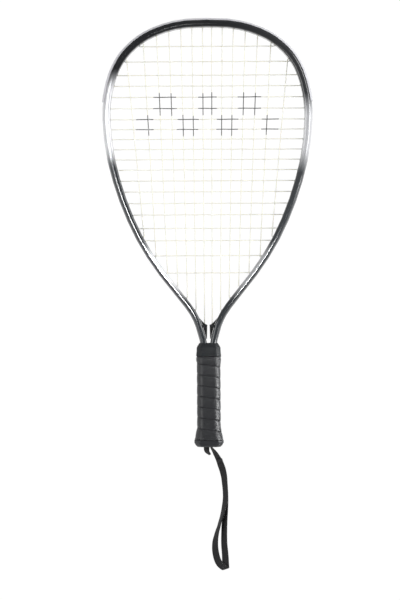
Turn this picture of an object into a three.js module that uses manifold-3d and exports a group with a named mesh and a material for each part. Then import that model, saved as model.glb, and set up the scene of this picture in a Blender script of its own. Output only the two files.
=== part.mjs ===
// A racquetball racket: one bent tube, a woven string bed seated in grommets, a moulded throat,
// a wrapped handle with a butt cap, and a webbing wrist strap.
// Millimetres. +Y runs from the butt to the head, +X across the head, +Z is up.
// The racket lies on its back face. The origin is under its middle, on the surface it lies on.

import * as THREE from 'three';
import { mergeVertices } from 'three/addons/utils/BufferGeometryUtils.js';
import Module from 'manifold-3d';

const wasm = await Module();
wasm.setup();

// Clearances and cutting tools
const fitGap = 0.3;
const cutOverrun = 2;

// The whole racket
const racketLength = 558.8;
const headWidth = 274.2;
const handleLength = 135;

// The tube of the frame
const headTubeWidth = 10.8;
const throatTubeWidth = 9;
const tubeDepth = 20;
const tubeFlatHeight = 15;
const tubeShoulderShares = [0.72, 0.95];
const tubeRoundAngles = [90, 73, 56, 34];
const grooveWidth = 4.6;
const grooveDepth = 2.9;
const taperLength = 280;

// The hoop: shares of the half width and of the height from the collar to the crown
const hoopShares = [
  [0.228, 0.997], [0.441, 0.982], [0.645, 0.952], [0.806, 0.908], [0.9, 0.863], [0.965, 0.805],
  [1, 0.732], [0.993, 0.66], [0.957, 0.577], [0.881, 0.485], [0.773, 0.392], [0.629, 0.3],
  [0.431, 0.207], [0.272, 0.145], [0.158, 0.096], [0.107, 0.064], [0.074, 0.031],
];
const stationStep = 1;
const stationReach = 26;
const stationTurn = THREE.MathUtils.degToRad(5.5);

// The two shanks in the handle
const shankSpacing = 13.4;
const shankSettle = 12;

// Bumper guard on the head
const bumperWall = 0.8;
const bumperDrop = 108.5;

// Strings
const stringDiameter = 1.3;
const stringSides = 5;
const seatRise = 1;
const bendStand = 1.6;
const weaveClear = 6;
const stringTail = 7;
const mainHeadShares = [0.0445, 0.1444, 0.251, 0.3654, 0.485, 0.6163, 0.7972];
const mainThroatShares = [0.0365, 0.1145, 0.1947, 0.2786, 0.3691, 0.4595, 0.5325];
const mainLineDrop = 7;
const crossShares = [
  0.927, 0.879, 0.837, 0.803, 0.7685, 0.733, 0.699, 0.6675, 0.637, 0.605,
  0.5735, 0.541, 0.507, 0.4725, 0.4365, 0.4005, 0.3585, 0.32, 0.273, 0.219,
];

// Grommets
const grommetBore = 1.9;
const grommetWall = 0.5;
const grommetSides = 5;
const grommetProud = 0.2;
const stripThickness = 0.8;
const stripWidth = 3.8;
const stripTail = 9;

// Throat cheeks
const cheekDepth = 15;
const cheekShoulder = 30.6;
const cheekLength = 26;
const cheekRim = 1.3;
const cheekPocketDepth = 2.2;
const slitWidth = 3;
const slitDrop = 8.9;
const slitSpread = 1.1;
const cheekBite = 3;
const shoulderPower = 1.5;

// Handle
const handleWall = 2.05;
const handleDepthShare = 0.893;
const handleBevelShares = [0.356, 0.475];
const cavityBevelShares = [0.26, 0.39];
const edgeSoftness = 1.2;
const palletTopDrop = 7;
const coreDepth = 14;
const coreTopDrop = 18;

// Collar above the grip
const collarLength = 17;
const collarLip = 0.5;
const collarProud = 0.85;
const collarSwellShares = [[0, 0], [0.1, 0.26], [0.27, 0.66], [0.35, 0.81], [0.62, 0.85], [1, 1]];

// Grip tape, wound on as one long strip
const tapeThickness = 1.6;
const tapePitch = 14;
const tapeGap = 0.45;
const tapeLead = 3.8;
const tapeShoulder = 3;
const tapeEdgeShare = 0.55;
const startSwell = 0.8;
const startLength = 4.5;
const startFade = 6;

// Butt cap
const capHeight = 25.4;
const capFlare = 3.4;
const rimHeight = 8.2;
const rimWidth = 38.2;
const rimShares = [[0, 1], [0.32, 1], [0.74, 0.9], [1, 0.78]];
const capFloor = 2.5;
const spigotLength = 8;
const spigotWall = 1.5;
const strapSlotWidth = 14.4;
const strapSlotHeight = 10.6;
const strapSlotCorner = 2.5;
const strapSlotShift = 0.8;

// Wrist strap
const strapWidth = 9;
const strapThickness = 1.6;
const strapExit = 3.4;
const strapStart = 1.9;
const stubShift = 0.5;
const stubGap = 0.85;
const strapSteps = 100;
const knotLength = 9;
const knotWidth = 12;

// Sizes worked out from the ones above
const headTop = racketLength / 2 - bumperWall - fitGap;
const buttEnd = -racketLength / 2;
const crownHeight = headTop - headTubeWidth / 2;
const hoopHalfWidth = (headWidth - headTubeWidth) / 2;
const gripTape = tapeThickness + fitGap;
const cavityHalfWidth = (shankSpacing + throatTubeWidth) / 2 + fitGap;
const cavityHalfDepth = tubeDepth / 2 + fitGap;
const palletHalfWidth = cavityHalfWidth + handleWall;
const collarTop = buttEnd + handleLength;
const hoopHeight = crownHeight - collarTop;
const capTop = buttEnd + capHeight;
const rimTop = buttEnd + rimHeight;
const shankEnd = capTop + spigotLength + fitGap;
const bedHeight = rimWidth / 2 * handleDepthShare;
const barrelRadius = (grommetBore / 2 + grommetWall) / Math.cos(Math.PI / grommetSides);
const holeRadius = barrelRadius + fitGap / Math.cos(Math.PI / grommetSides);
const boreRadius = grommetBore / 2 / Math.cos(Math.PI / grommetSides);

// A closed mesh with only positions, its shared corners merged
function weld(geometry) {
  const bare = geometry.index ? geometry.clone() : mergeVertices(geometry.clone());
  bare.deleteAttribute('normal');
  bare.deleteAttribute('uv');
  return mergeVertices(bare);
}

// A mesh as a solid that can be joined and cut
function solid(geometry) {
  const welded = weld(geometry);
  return new wasm.Manifold(new wasm.Mesh({
    numProp: 3,
    vertProperties: new Float32Array(welded.attributes.position.array),
    triVerts: new Uint32Array(welded.index.array),
  }));
}

// A solid as a mesh again
function meshed(body) {
  const mesh = body.getMesh();
  const geometry = new THREE.BufferGeometry();
  geometry.setAttribute('position', new THREE.BufferAttribute(new Float32Array(mesh.vertProperties), 3));
  geometry.setIndex(new THREE.BufferAttribute(new Uint32Array(mesh.triVerts), 1));
  geometry.computeVertexNormals();
  return geometry;
}

// Six times the signed volume: it is positive when the faces point out
function signedVolume(points, faces) {
  const cross = new THREE.Vector3();
  return faces.reduce((sum, [a, b, c]) => sum + points[a].dot(cross.crossVectors(points[b], points[c])), 0);
}

// A skin over rings of equal count, with flat ends
function loft(rings, outline = null) {
  const sides = rings[0].length;
  const points = rings.flat();
  const faces = [];
  for (let ring = 0; ring < rings.length - 1; ring += 1) {
    for (let side = 0; side < sides; side += 1) {
      const a = ring * sides + side;
      const b = ring * sides + (side + 1) % sides;
      faces.push([a, b, b + sides], [a, b + sides, a + sides]);
    }
  }
  const cap = outline ? capFaces(outline) : fanFaces(sides);
  const last = points.length - sides;
  for (const [a, b, c] of cap) {
    faces.push([c, b, a], [last + a, last + b, last + c]);
  }
  if (signedVolume(points, faces) < 0) {
    faces.forEach((face) => face.reverse());
  }
  const geometry = new THREE.BufferGeometry().setFromPoints(points);
  geometry.setIndex(faces.flat());
  geometry.computeVertexNormals();
  return geometry;
}

// Triangles of a convex end
function fanFaces(sides) {
  const faces = [];
  for (let side = 1; side < sides - 1; side += 1) {
    faces.push([0, side, side + 1]);
  }
  return faces;
}

// Triangles of any flat end, all turning the way the outline turns
function capFaces(outline) {
  const turn = Math.sign(THREE.ShapeUtils.area(outline));
  return THREE.ShapeUtils.triangulateShape(outline, []).map((face) => {
    const own = Math.sign(THREE.ShapeUtils.area(face.map((corner) => outline[corner])));
    return own === turn ? face : [...face].reverse();
  });
}

// A straight rod between two points
function rod(from, to, radius, sides) {
  const run = new THREE.Vector3().subVectors(to, from);
  const geometry = new THREE.CylinderGeometry(radius, radius, run.length(), sides);
  const middle = new THREE.Vector3().addVectors(from, to).multiplyScalar(1 / 2);
  const turn = new THREE.Quaternion().setFromUnitVectors(new THREE.Vector3(0, 1, 0), run.normalize());
  return geometry.applyQuaternion(turn).translate(middle.x, middle.y, middle.z);
}

// Where a rising or falling function crosses zero
function crossing(value, low, high) {
  const rising = value(low) < 0;
  let [from, to] = [low, high];
  while (Math.abs(to - from) > fitGap / 1000) {
    const middle = (from + to) / 2;
    if ((value(middle) < 0) === rising) {
      from = middle;
    } else {
      to = middle;
    }
  }
  return (from + to) / 2;
}

// The tube's centreline, from the end of the left shank over the crown to the end of the right one
function hoopCentreline() {
  const half = hoopShares.map(([across, along]) => {
    return new THREE.Vector3(across * hoopHalfWidth, collarTop + along * hoopHeight, 0);
  });
  half.push(new THREE.Vector3(shankSpacing / 2, collarTop, 0));
  half.push(new THREE.Vector3(shankSpacing / 2, collarTop - shankSettle, 0));
  half.push(new THREE.Vector3(shankSpacing / 2, shankEnd, 0));
  const mirrored = half.map((point) => new THREE.Vector3(-point.x, point.y, 0)).reverse();
  const crown = new THREE.Vector3(0, crownHeight, 0);
  const curve = new THREE.CatmullRomCurve3([...mirrored, crown, ...half], false, 'centripetal');
  curve.arcLengthDivisions = Math.round(racketLength * 3);
  return curve;
}

const centreline = hoopCentreline();
const halfRun = centreline.getLength() / 2;

// The tube's width, which tapers from the head to the throat
function tubeWidthAt(height) {
  const low = collarTop + hoopHeight / 10;
  const share = THREE.MathUtils.smoothstep(height, low, low + taperLength);
  return THREE.MathUtils.lerp(throatTubeWidth, headTubeWidth, share);
}

// Place, outward direction and tube width at a distance from the crown, positive to the right
function hoopAt(run) {
  const side = run < 0 ? -1 : 1;
  const share = (1 + Math.min(Math.abs(run) / halfRun, 1)) / 2;
  const spot = centreline.getPointAt(share);
  const heading = centreline.getTangentAt(share);
  return {
    spot: new THREE.Vector2(side * spot.x, spot.y),
    outward: new THREE.Vector2(-side * heading.y, heading.x).normalize(),
    width: tubeWidthAt(spot.y),
  };
}

// A point beside the centreline: reach is outward, rise is up
function besideHoop(run, reach, rise) {
  const { spot, outward } = hoopAt(run);
  return new THREE.Vector3(spot.x + outward.x * reach, spot.y + outward.y * reach, rise);
}

// Distances from the crown at which the tube gets a ring, closer together where it bends
function layStations() {
  const right = [0];
  let last = hoopAt(0);
  for (let run = stationStep; run < halfRun - stationReach / 2; run += stationStep) {
    const here = hoopAt(run);
    const turned = Math.abs(last.outward.cross(here.outward));
    if (turned > stationTurn || run - right.at(-1) > stationReach) {
      right.push(run);
      last = here;
    }
  }
  right.push(halfRun);
  return [...right.slice(1).map((run) => -run).reverse(), ...right];
}

const stations = layStations();

// The stations between two distances, with both ends
function stationsBetween(from, to, margin = fitGap) {
  const inner = stations.filter((run) => run > from + margin && run < to - margin);
  return [from, ...inner, to];
}

// The distance from the crown at which a side of the hoop passes a height
function runAtHeight(height) {
  return crossing((run) => hoopAt(run).spot.y - height, 0, halfRun);
}

const widestRun = stations.filter((run) => run > 0).reduce((best, run) => {
  return hoopAt(run).spot.x > hoopAt(best).spot.x ? run : best;
});

// Front half of an outline, repeated on the back
function bothFaces(front) {
  const back = front.map((point) => new THREE.Vector2(point.x, -point.y)).reverse();
  return [...front, ...back];
}

// The angles that the outer side of the tube and the bumper share
function roundAngles() {
  const mouth = Math.asin(grooveWidth / tubeDepth);
  return [...tubeRoundAngles.map((angle) => THREE.MathUtils.degToRad(angle)), mouth];
}

// The tube's outline: rounded outside, flat inside, with a string groove
function tubeOutline(width) {
  const reach = width / 2;
  const rise = tubeDepth / 2;
  const [shoulderReach, shoulderRise] = tubeShoulderShares;
  const round = roundAngles().map((angle) => {
    return new THREE.Vector2(reach * Math.cos(angle), rise * Math.sin(angle));
  });
  return bothFaces([
    new THREE.Vector2(-reach, tubeFlatHeight / 2),
    new THREE.Vector2(-reach * shoulderReach, rise * shoulderRise),
    ...round,
    new THREE.Vector2(reach - grooveDepth, grooveWidth / 2),
  ]);
}

// A bar of any outline along a part of the hoop
function alongHoop(from, to, outlineAt) {
  const rings = stationsBetween(from, to).map((run) => {
    return outlineAt(hoopAt(run).width).map((point) => besideHoop(run, point.x, point.y));
  });
  return loft(rings, outlineAt(headTubeWidth));
}

// The line of one main string: its distance from the middle at a height
const mainHigh = headTop - mainLineDrop;
const mainLow = collarTop + cheekShoulder;
function mainAcross(index, height) {
  const share = (height - mainLow) / (mainHigh - mainLow);
  const low = mainThroatShares[index] * headWidth / 2;
  const high = mainHeadShares[index] * headWidth / 2;
  return THREE.MathUtils.lerp(low, high, share);
}

// Where a string bends from the bed into its grommet
function bendAt(run) {
  return besideHoop(run, -hoopAt(run).width / 2 - bendStand, 0);
}

// The seat of a main string, in the head or in the lower hoop. The innermost ones go through
// the cheeks of the throat.
function mainSeat(index, atHead) {
  const miss = (run) => bendAt(run).x - mainAcross(index, bendAt(run).y);
  if (atHead) {
    const run = crossing(miss, 0, widestRun);
    return { run, bend: bendAt(run) };
  }
  if (index > 0) {
    const run = crossing(miss, widestRun, runAtHeight(collarTop));
    return { run, bend: bendAt(run) };
  }
  const biteHeight = cheekTopAt(mainAcross(index, mainLow)) - cheekBite;
  const bend = new THREE.Vector3(mainAcross(index, biteHeight), biteHeight, 0);
  const facing = (at) => {
    const { spot, outward } = hoopAt(at);
    return (bend.x - spot.x) * outward.y - (bend.y - spot.y) * outward.x;
  };
  return { run: crossing(facing, widestRun, runAtHeight(collarTop)), bend };
}

// The seat of a cross string on the right side
function crossSeat(height) {
  const run = crossing((at) => bendAt(at).y - height, 0, halfRun);
  return { run, bend: bendAt(run) };
}

// The throat cheek's shoulder: its height at a distance from the middle
function cheekTopAt(across) {
  const inner = slitWidth / 2;
  const root = cheekRoot();
  const share = (across - inner) / (root.x - inner);
  return root.y - slitDrop + slitDrop * Math.max(share, 0) ** shoulderPower;
}

// Where the shoulder meets the tube
function cheekRoot() {
  const run = runAtHeight(mainLow);
  return besideHoop(run, -hoopAt(run).width / 2 - fitGap, 0);
}

const mainIndexes = mainHeadShares.map((share, index) => index);
const headSeats = mainIndexes.map((index) => mainSeat(index, true));
const footSeats = mainIndexes.map((index) => mainSeat(index, false));
const crossHeights = crossShares.map((share) => collarTop + share * hoopHeight);
const crossSeats = crossHeights.map(crossSeat);

// Every string end: its distance from the crown on both sides, its bend and its height
function allSeats() {
  const mains = [...headSeats, ...footSeats].map((seat) => ({ ...seat, rise: seatRise }));
  const crosses = crossSeats.map((seat) => ({ ...seat, rise: -seatRise }));
  const right = [...mains, ...crosses];
  const left = right.map((seat) => {
    return { ...seat, run: -seat.run, bend: new THREE.Vector3(-seat.bend.x, seat.bend.y, 0) };
  });
  return [...left, ...right];
}

const seats = allSeats();

// The outside of the string groove, where the strings turn
const turnDepth = grooveDepth - fitGap - stripThickness - fitGap - stringDiameter / 2;
function turnReach(width) {
  return width / 2 - turnDepth;
}

// A rod through the tube at a seat
function seatRod(seat, from, to, radius) {
  const inner = besideHoop(seat.run, from, seat.rise);
  return rod(inner, besideHoop(seat.run, to, seat.rise), radius, grommetSides);
}

// The bent tube with its groove and its string holes
function frameTube() {
  let tube = solid(alongHoop(-halfRun, halfRun, tubeOutline));
  for (const seat of seats) {
    const reach = hoopAt(seat.run).width / 2;
    tube = tube.subtract(solid(seatRod(seat, -reach - cutOverrun, reach, holeRadius)));
  }
  return meshed(tube);
}

// The bumper guard: a thin arch over the outside of the head
function bumperGuard() {
  const end = runAtHeight(headTop - bumperDrop);
  return alongHoop(-end, end, (width) => {
    const arc = (offset) => roundAngles().slice(2).map((angle) => {
      return new THREE.Vector2(
        (width / 2 + offset) * Math.cos(angle),
        (tubeDepth / 2 + offset) * Math.sin(angle),
      );
    });
    const outer = bothFaces(arc(fitGap + bumperWall));
    const inner = bothFaces(arc(fitGap));
    return [...outer, ...inner.reverse()];
  });
}

// One grommet strip: a flat strip in the groove with a barrel at each string
function grommetStrip(from, to) {
  const flat = (width) => {
    const floor = width / 2 - grooveDepth + fitGap;
    const top = new THREE.Vector2(floor + stripThickness, stripWidth / 2);
    return bothFaces([new THREE.Vector2(floor, stripWidth / 2), top]);
  };
  const own = seats.filter((seat) => seat.run > from && seat.run < to);
  let strip = solid(alongHoop(from, to, flat));
  for (const seat of own) {
    const reach = hoopAt(seat.run).width / 2;
    const base = reach - grooveDepth + fitGap + stripThickness / 2;
    strip = strip.add(solid(seatRod(seat, -reach - grommetProud, base, barrelRadius)));
  }
  for (const seat of own) {
    const reach = hoopAt(seat.run).width / 2;
    strip = strip.subtract(solid(seatRod(seat, -reach - cutOverrun, reach + cutOverrun, boreRadius)));
  }
  return meshed(strip);
}

// A string along its route, mitred at each bend
function stringAlong(route, radius = stringDiameter / 2) {
  const up = new THREE.Vector3(0, 0, 1);
  const rings = route.map((point, index) => {
    const ahead = new THREE.Vector3().subVectors(route[Math.min(index + 1, route.length - 1)], point);
    const behind = new THREE.Vector3().subVectors(point, route[Math.max(index - 1, 0)]);
    const into = (index > 0 ? behind : ahead).normalize();
    const out = (index < route.length - 1 ? ahead : behind).normalize();
    const mitre = new THREE.Vector3().addVectors(into, out).normalize();
    const side = new THREE.Vector3().crossVectors(into, up).normalize();
    const lift = new THREE.Vector3().crossVectors(side, into);
    const ring = [];
    for (let corner = 0; corner < stringSides; corner += 1) {
      const angle = 2 * Math.PI * corner / stringSides;
      const spoke = new THREE.Vector3().addScaledVector(side, radius * Math.cos(angle));
      spoke.addScaledVector(lift, radius * Math.sin(angle));
      spoke.addScaledVector(into, -spoke.dot(mitre) / into.dot(mitre));
      ring.push(spoke.add(point));
    }
    return ring;
  });
  return loft(rings);
}

// The points of a turn round the outside of the frame between two seats
function turnBetween(from, to, rise) {
  const [low, high] = from < to ? [from, to] : [to, from];
  const runs = stationsBetween(low, high, weaveClear / 2);
  const points = runs.map((run) => besideHoop(run, turnReach(hoopAt(run).width), rise));
  return from < to ? points : points.reverse();
}

// The height of a cross string where it meets a main, over or under it
function weaveRise(mainNumber, crossNumber, clear) {
  const weave = stringDiameter + fitGap;
  const under = clear < weaveClear || (mainNumber + crossNumber) % 2 === 0;
  return under ? -weave : weave;
}

// Where a main meets each cross, with the cross's height there
function crossingsOfMain(side, index) {
  const found = [];
  crossHeights.forEach((height, crossNumber) => {
    const across = mainAcross(index, height);
    const clear = Math.min(
      headSeats[index].bend.y - height,
      height - footSeats[index].bend.y,
      crossSeats[crossNumber].bend.x - across,
    );
    if (clear > 2 * stringDiameter) {
      const mainNumber = side < 0 ? mainIndexes.length - 1 - index : mainIndexes.length + index;
      const rise = weaveRise(mainNumber, crossNumber, clear);
      found.push({ crossNumber, main: new THREE.Vector3(side * across, height, 0), rise });
    }
  });
  return found;
}

const sides = [-1, 1];
const weaveTable = sides.flatMap((side) => {
  const order = side < 0 ? [...mainIndexes].reverse() : mainIndexes;
  return order.map((index) => ({ side, index, marks: crossingsOfMain(side, index) }));
});

// A bend on either side at a height above the middle of the bed
function seatPoint(seat, side, rise) {
  return new THREE.Vector3(side * seat.bend.x, seat.bend.y, rise);
}

// The main string: up and down the bed from left to right, turning outside the frame
function mainString() {
  const route = [];
  let lastRun = null;
  weaveTable.forEach(({ side, index, marks }, number) => {
    const rising = number % 2 === 0;
    const ends = [footSeats[index], headSeats[index]];
    const [first, second] = rising ? ends : [...ends].reverse();
    const start = side * first.run;
    const tail = start - Math.sign(start) * stringTail;
    route.push(...turnBetween(lastRun ?? tail, start, seatRise));
    route.push(seatPoint(first, side, seatRise));
    const met = [marks[0].main, marks.at(-1).main];
    route.push(...(rising ? met.reverse() : met));
    route.push(seatPoint(second, side, seatRise));
    lastRun = side * second.run;
  });
  const tail = lastRun - Math.sign(lastRun) * stringTail;
  route.push(...turnBetween(lastRun, tail, seatRise));
  return stringAlong(route);
}

// The cross string: side to side from the head down, turning outside the frame
function crossString() {
  const route = [];
  let lastRun = null;
  crossSeats.forEach((seat, crossNumber) => {
    const side = crossNumber % 2 === 0 ? 1 : -1;
    const start = -side * seat.run;
    const tail = start - Math.sign(start) * stringTail;
    route.push(...turnBetween(lastRun ?? tail, start, -seatRise));
    route.push(seatPoint(seat, -side, -seatRise));
    const met = weaveTable.flatMap(({ marks }) => marks.filter((mark) => mark.crossNumber === crossNumber));
    const woven = met.map(({ main, rise }) => new THREE.Vector3(main.x, main.y, rise));
    route.push(...(side > 0 ? woven : woven.reverse()));
    route.push(seatPoint(seat, side, -seatRise));
    lastRun = side * seat.run;
  });
  const tail = lastRun + Math.sign(lastRun) * stringTail;
  route.push(...turnBetween(lastRun, tail, -seatRise));
  return stringAlong(route);
}

// One cheek of the throat: a wedge between the tube and the open slit
function throatCheek(side) {
  const top = runAtHeight(mainLow);
  const low = runAtHeight(collarTop + cheekShoulder - cheekLength);
  const wall = stationsBetween(top, low).map((run) => {
    const point = besideHoop(run, -hoopAt(run).width / 2 - fitGap, 0);
    return new THREE.Vector2(point.x, point.y);
  });
  const shoulder = mainIndexes.map((index) => {
    const across = THREE.MathUtils.lerp(slitWidth / 2, wall[0].x, index / mainIndexes.length);
    return new THREE.Vector2(across, cheekTopAt(across));
  });
  const foot = new THREE.Vector2(slitWidth / 2 + slitSpread / 2, wall.at(-1).y);
  const outline = [...wall, foot, ...shoulder];
  const shape = new THREE.Shape(outline.map((point) => new THREE.Vector2(side * point.x, point.y)));
  const blank = new THREE.ExtrudeGeometry(shape, { depth: cheekDepth, bevelEnabled: false });
  let cheek = solid(blank.translate(0, 0, -cheekDepth / 2));
  cheek = cheek.subtract(cheekPocket(side, 1)).subtract(cheekPocket(side, -1));
  const seat = { ...footSeats[0], run: side * footSeats[0].run, rise: seatRise };
  const bend = seatPoint(footSeats[0], side, seatRise);
  const mouthHeight = bend.y + cheekBite + slitDrop;
  const mouth = new THREE.Vector3(side * mainAcross(0, mouthHeight), mouthHeight, seatRise);
  const outer = besideHoop(seat.run, 0, seatRise);
  cheek = cheek.subtract(solid(stringAlong([mouth, bend, outer], holeRadius)));
  return meshed(cheek);
}

// The pocket in one face of a cheek, which leaves a rim along its shoulder and its slit
function cheekPocket(side, face) {
  const wallAcross = cheekRoot().x;
  const edge = slitWidth / 2 + cheekRim;
  const shoulder = mainIndexes.map((index) => {
    const across = THREE.MathUtils.lerp(edge, wallAcross, index / (mainIndexes.length - 1));
    return new THREE.Vector2(across, cheekTopAt(across) - cheekRim);
  });
  const low = collarTop + cheekShoulder - cheekLength - cutOverrun;
  const foot = [wallAcross, edge + slitSpread / 2].map((across) => new THREE.Vector2(across, low));
  const outline = [...shoulder, ...foot];
  const shape = new THREE.Shape(outline.map((point) => new THREE.Vector2(side * point.x, point.y)));
  const pocket = new THREE.ExtrudeGeometry(shape, { depth: cheekDepth, bevelEnabled: false });
  const floor = cheekDepth / 2 - cheekPocketDepth;
  return solid(pocket.translate(0, 0, face > 0 ? floor : -floor - cheekDepth));
}

// An eight-sided handle outline with softened edges
function handleOutline(halfWidth, halfDepth, bevelShares) {
  const [bevelAcross, bevelUp] = bevelShares;
  const corners = [];
  for (const [x, z] of [[1, 1], [-1, 1], [-1, -1], [1, -1]]) {
    const low = new THREE.Vector2(x * halfWidth, z * halfDepth * (1 - bevelUp));
    const high = new THREE.Vector2(x * halfWidth * (1 - bevelAcross), z * halfDepth);
    corners.push(...(x * z > 0 ? [low, high] : [high, low]));
  }
  return corners.flatMap((corner, index) => {
    const before = corners.at(index - 1);
    const after = corners[(index + 1) % corners.length];
    const toward = (other) => corner.clone().add(other.clone().sub(corner).setLength(edgeSoftness));
    return [toward(before), toward(after)];
  });
}

// A handle outline whose depth follows its width
function gripOutline(halfWidth) {
  return handleOutline(halfWidth, halfWidth * handleDepthShare, handleBevelShares);
}

// A ring of a handle outline at a height along the handle
function gripRing(halfWidth, height) {
  return gripOutline(halfWidth).map((point) => new THREE.Vector3(point.x, height, point.y));
}

// A straight bar along the handle
function handleBar(outline, from, to) {
  const depth = from - to;
  const geometry = new THREE.ExtrudeGeometry(new THREE.Shape(outline), { depth, bevelEnabled: false });
  return geometry.rotateX(Math.PI / 2).translate(0, from, 0);
}

// The space that the two shanks take in the handle
function shankSpace(from, to) {
  return solid(handleBar(handleOutline(cavityHalfWidth, cavityHalfDepth, cavityBevelShares), from, to));
}

// One half of the handle pallet: face is 1 for the front half and -1 for the back half
function handlePallet(face) {
  const top = collarTop - palletTopDrop;
  const low = capTop + fitGap;
  const halfBox = new THREE.BoxGeometry(racketLength, racketLength, tubeDepth * 2);
  const other = halfBox.translate(0, low, -face * (tubeDepth - fitGap / 2));
  let pallet = solid(handleBar(gripOutline(palletHalfWidth), top, low));
  pallet = pallet.subtract(shankSpace(top + cutOverrun, low - cutOverrun));
  return meshed(pallet.subtract(solid(other)));
}

// The foam bar between the shanks
function handleCore() {
  const width = shankSpacing - throatTubeWidth - 2 * fitGap;
  const length = collarTop - coreTopDrop - shankEnd;
  const bar = new THREE.BoxGeometry(width, length, coreDepth);
  return bar.translate(0, shankEnd + length / 2, 0);
}

// The rubber collar that closes the top of the grip
function gripCollar() {
  const lip = cavityHalfWidth + collarLip;
  const full = palletHalfWidth + gripTape + collarProud;
  const rings = collarSwellShares.map(([along, swell]) => {
    return gripRing(THREE.MathUtils.lerp(lip, full, swell), collarTop - along * collarLength);
  });
  const palletSpace = gripOutline(palletHalfWidth + fitGap);
  let collar = solid(loft(rings));
  collar = collar.subtract(shankSpace(collarTop + cutOverrun, collarTop - collarLength - cutOverrun));
  const from = collarTop - palletTopDrop + fitGap;
  collar = collar.subtract(solid(handleBar(palletSpace, from, collarTop - collarLength - cutOverrun)));
  return meshed(collar);
}

// What the tape is wound on: the pallets, then the flare of the butt cap
function tapeSeat(height) {
  const share = THREE.MathUtils.clamp((capTop - height) / (capTop - rimTop), 0, 1);
  return palletHalfWidth + fitGap + share * capFlare;
}

// The grip tape: one strip wound down the handle, cut level at both ends
function gripTapeWinding() {
  const top = collarTop - collarLength - fitGap;
  const low = rimTop + fitGap;
  const half = (tapePitch - tapeGap) / 2;
  const perTurn = gripOutline(palletHalfWidth).length;
  const lap = lapShares();
  const rings = [];
  const edges = [];
  const steps = Math.ceil((top - low + 2 * half) / tapePitch * perTurn);
  for (let step = 1; step < steps; step += 1) {
    const turns = Math.floor(step / perTurn) + lap[step % perTurn];
    const middle = top + half - tapeLead - turns * tapePitch;
    const high = Math.min(middle + half, top);
    const foot = Math.max(middle - half, low);
    if (high - foot > fitGap) {
      rings.push(tapeRing(high, foot, perTurn - 1 - (step % perTurn)));
      edges.push([step, high, foot]);
    }
  }
  const least = edges.reduce((gap, [step, high, foot]) => {
    const next = edges.find(([other]) => other === step + perTurn);
    return next ? Math.min(gap, foot - next[1]) : gap;
  }, tapePitch);
  console.log(`grip tape: least gap to itself ${least.toFixed(2)} mm`);
  return loft(rings);
}

// The share of a turn at each corner of the handle, by the way round its outline
function lapShares() {
  const outline = gripOutline(palletHalfWidth).reverse();
  const lengths = outline.map((point, index) => point.distanceTo(outline.at(index - 1)));
  lengths[0] = 0;
  const closing = outline[0].distanceTo(outline.at(-1));
  const total = lengths.reduce((sum, length) => sum + length, closing);
  let walked = 0;
  return lengths.map((length) => {
    walked += length;
    return walked / total;
  });
}

// The tape's thickness at a height: its start is doubled under the first turn
function tapeThicknessAt(height) {
  const top = collarTop - collarLength - startLength;
  return tapeThickness + startSwell * THREE.MathUtils.smoothstep(height, top - startFade, top);
}

// The tape's section at one corner of the handle, thinner at its edges
function tapeRing(high, foot, corner) {
  const shoulder = Math.min(tapeShoulder, (high - foot) / 3);
  const levels = [
    [high, 0], [foot, 0],
    [foot, tapeEdgeShare], [foot + shoulder, 1], [high - shoulder, 1], [high, tapeEdgeShare],
  ];
  return levels.map(([height, share]) => {
    const seat = Math.max(tapeSeat(height), tapeSeat(height - fitGap));
    return gripRing(seat + share * tapeThicknessAt(height), height)[corner];
  });
}

// The slot that the wrist strap leaves through
function strapSlot(from, to) {
  const across = strapSlotWidth / 2 - strapSlotCorner;
  const up = strapSlotHeight / 2 - strapSlotCorner;
  const slot = new THREE.Shape();
  [[1, 1], [-1, 1], [-1, -1], [1, -1]].forEach(([x, z], quarter) => {
    const start = quarter * Math.PI / 2;
    slot.absarc(x * across, z * up, strapSlotCorner, start, start + Math.PI / 2, false);
  });
  const outline = slot.getPoints(strapSlotSegments).slice(0, -1);
  return solid(handleBar(outline, from, to).translate(-strapSlotShift, 0, 0));
}

const strapSlotSegments = 3;

// The butt cap: a flared cup with a spigot in the pallets and a slot for the strap
function buttCap() {
  const flare = [gripRing(palletHalfWidth, capTop), gripRing(palletHalfWidth + capFlare, rimTop)];
  const rim = rimShares.map(([along, share]) => {
    return gripRing(rimWidth / 2 * share, rimTop - along * rimHeight);
  });
  const spigotTop = capTop + spigotLength;
  const spigotOuter = handleOutline(cavityHalfWidth - fitGap, cavityHalfDepth - fitGap, cavityBevelShares);
  const inner = [cavityHalfWidth - fitGap - spigotWall, cavityHalfDepth - fitGap - spigotWall];
  let cap = solid(loft([...flare, ...rim]));
  cap = cap.add(solid(handleBar(spigotOuter, spigotTop, capTop - capFloor)));
  const hollow = handleOutline(...inner, cavityBevelShares);
  cap = cap.subtract(solid(handleBar(hollow, spigotTop + cutOverrun, buttEnd + capFloor)));
  return meshed(cap.subtract(strapSlot(rimTop, buttEnd - cutOverrun)));
}

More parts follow.
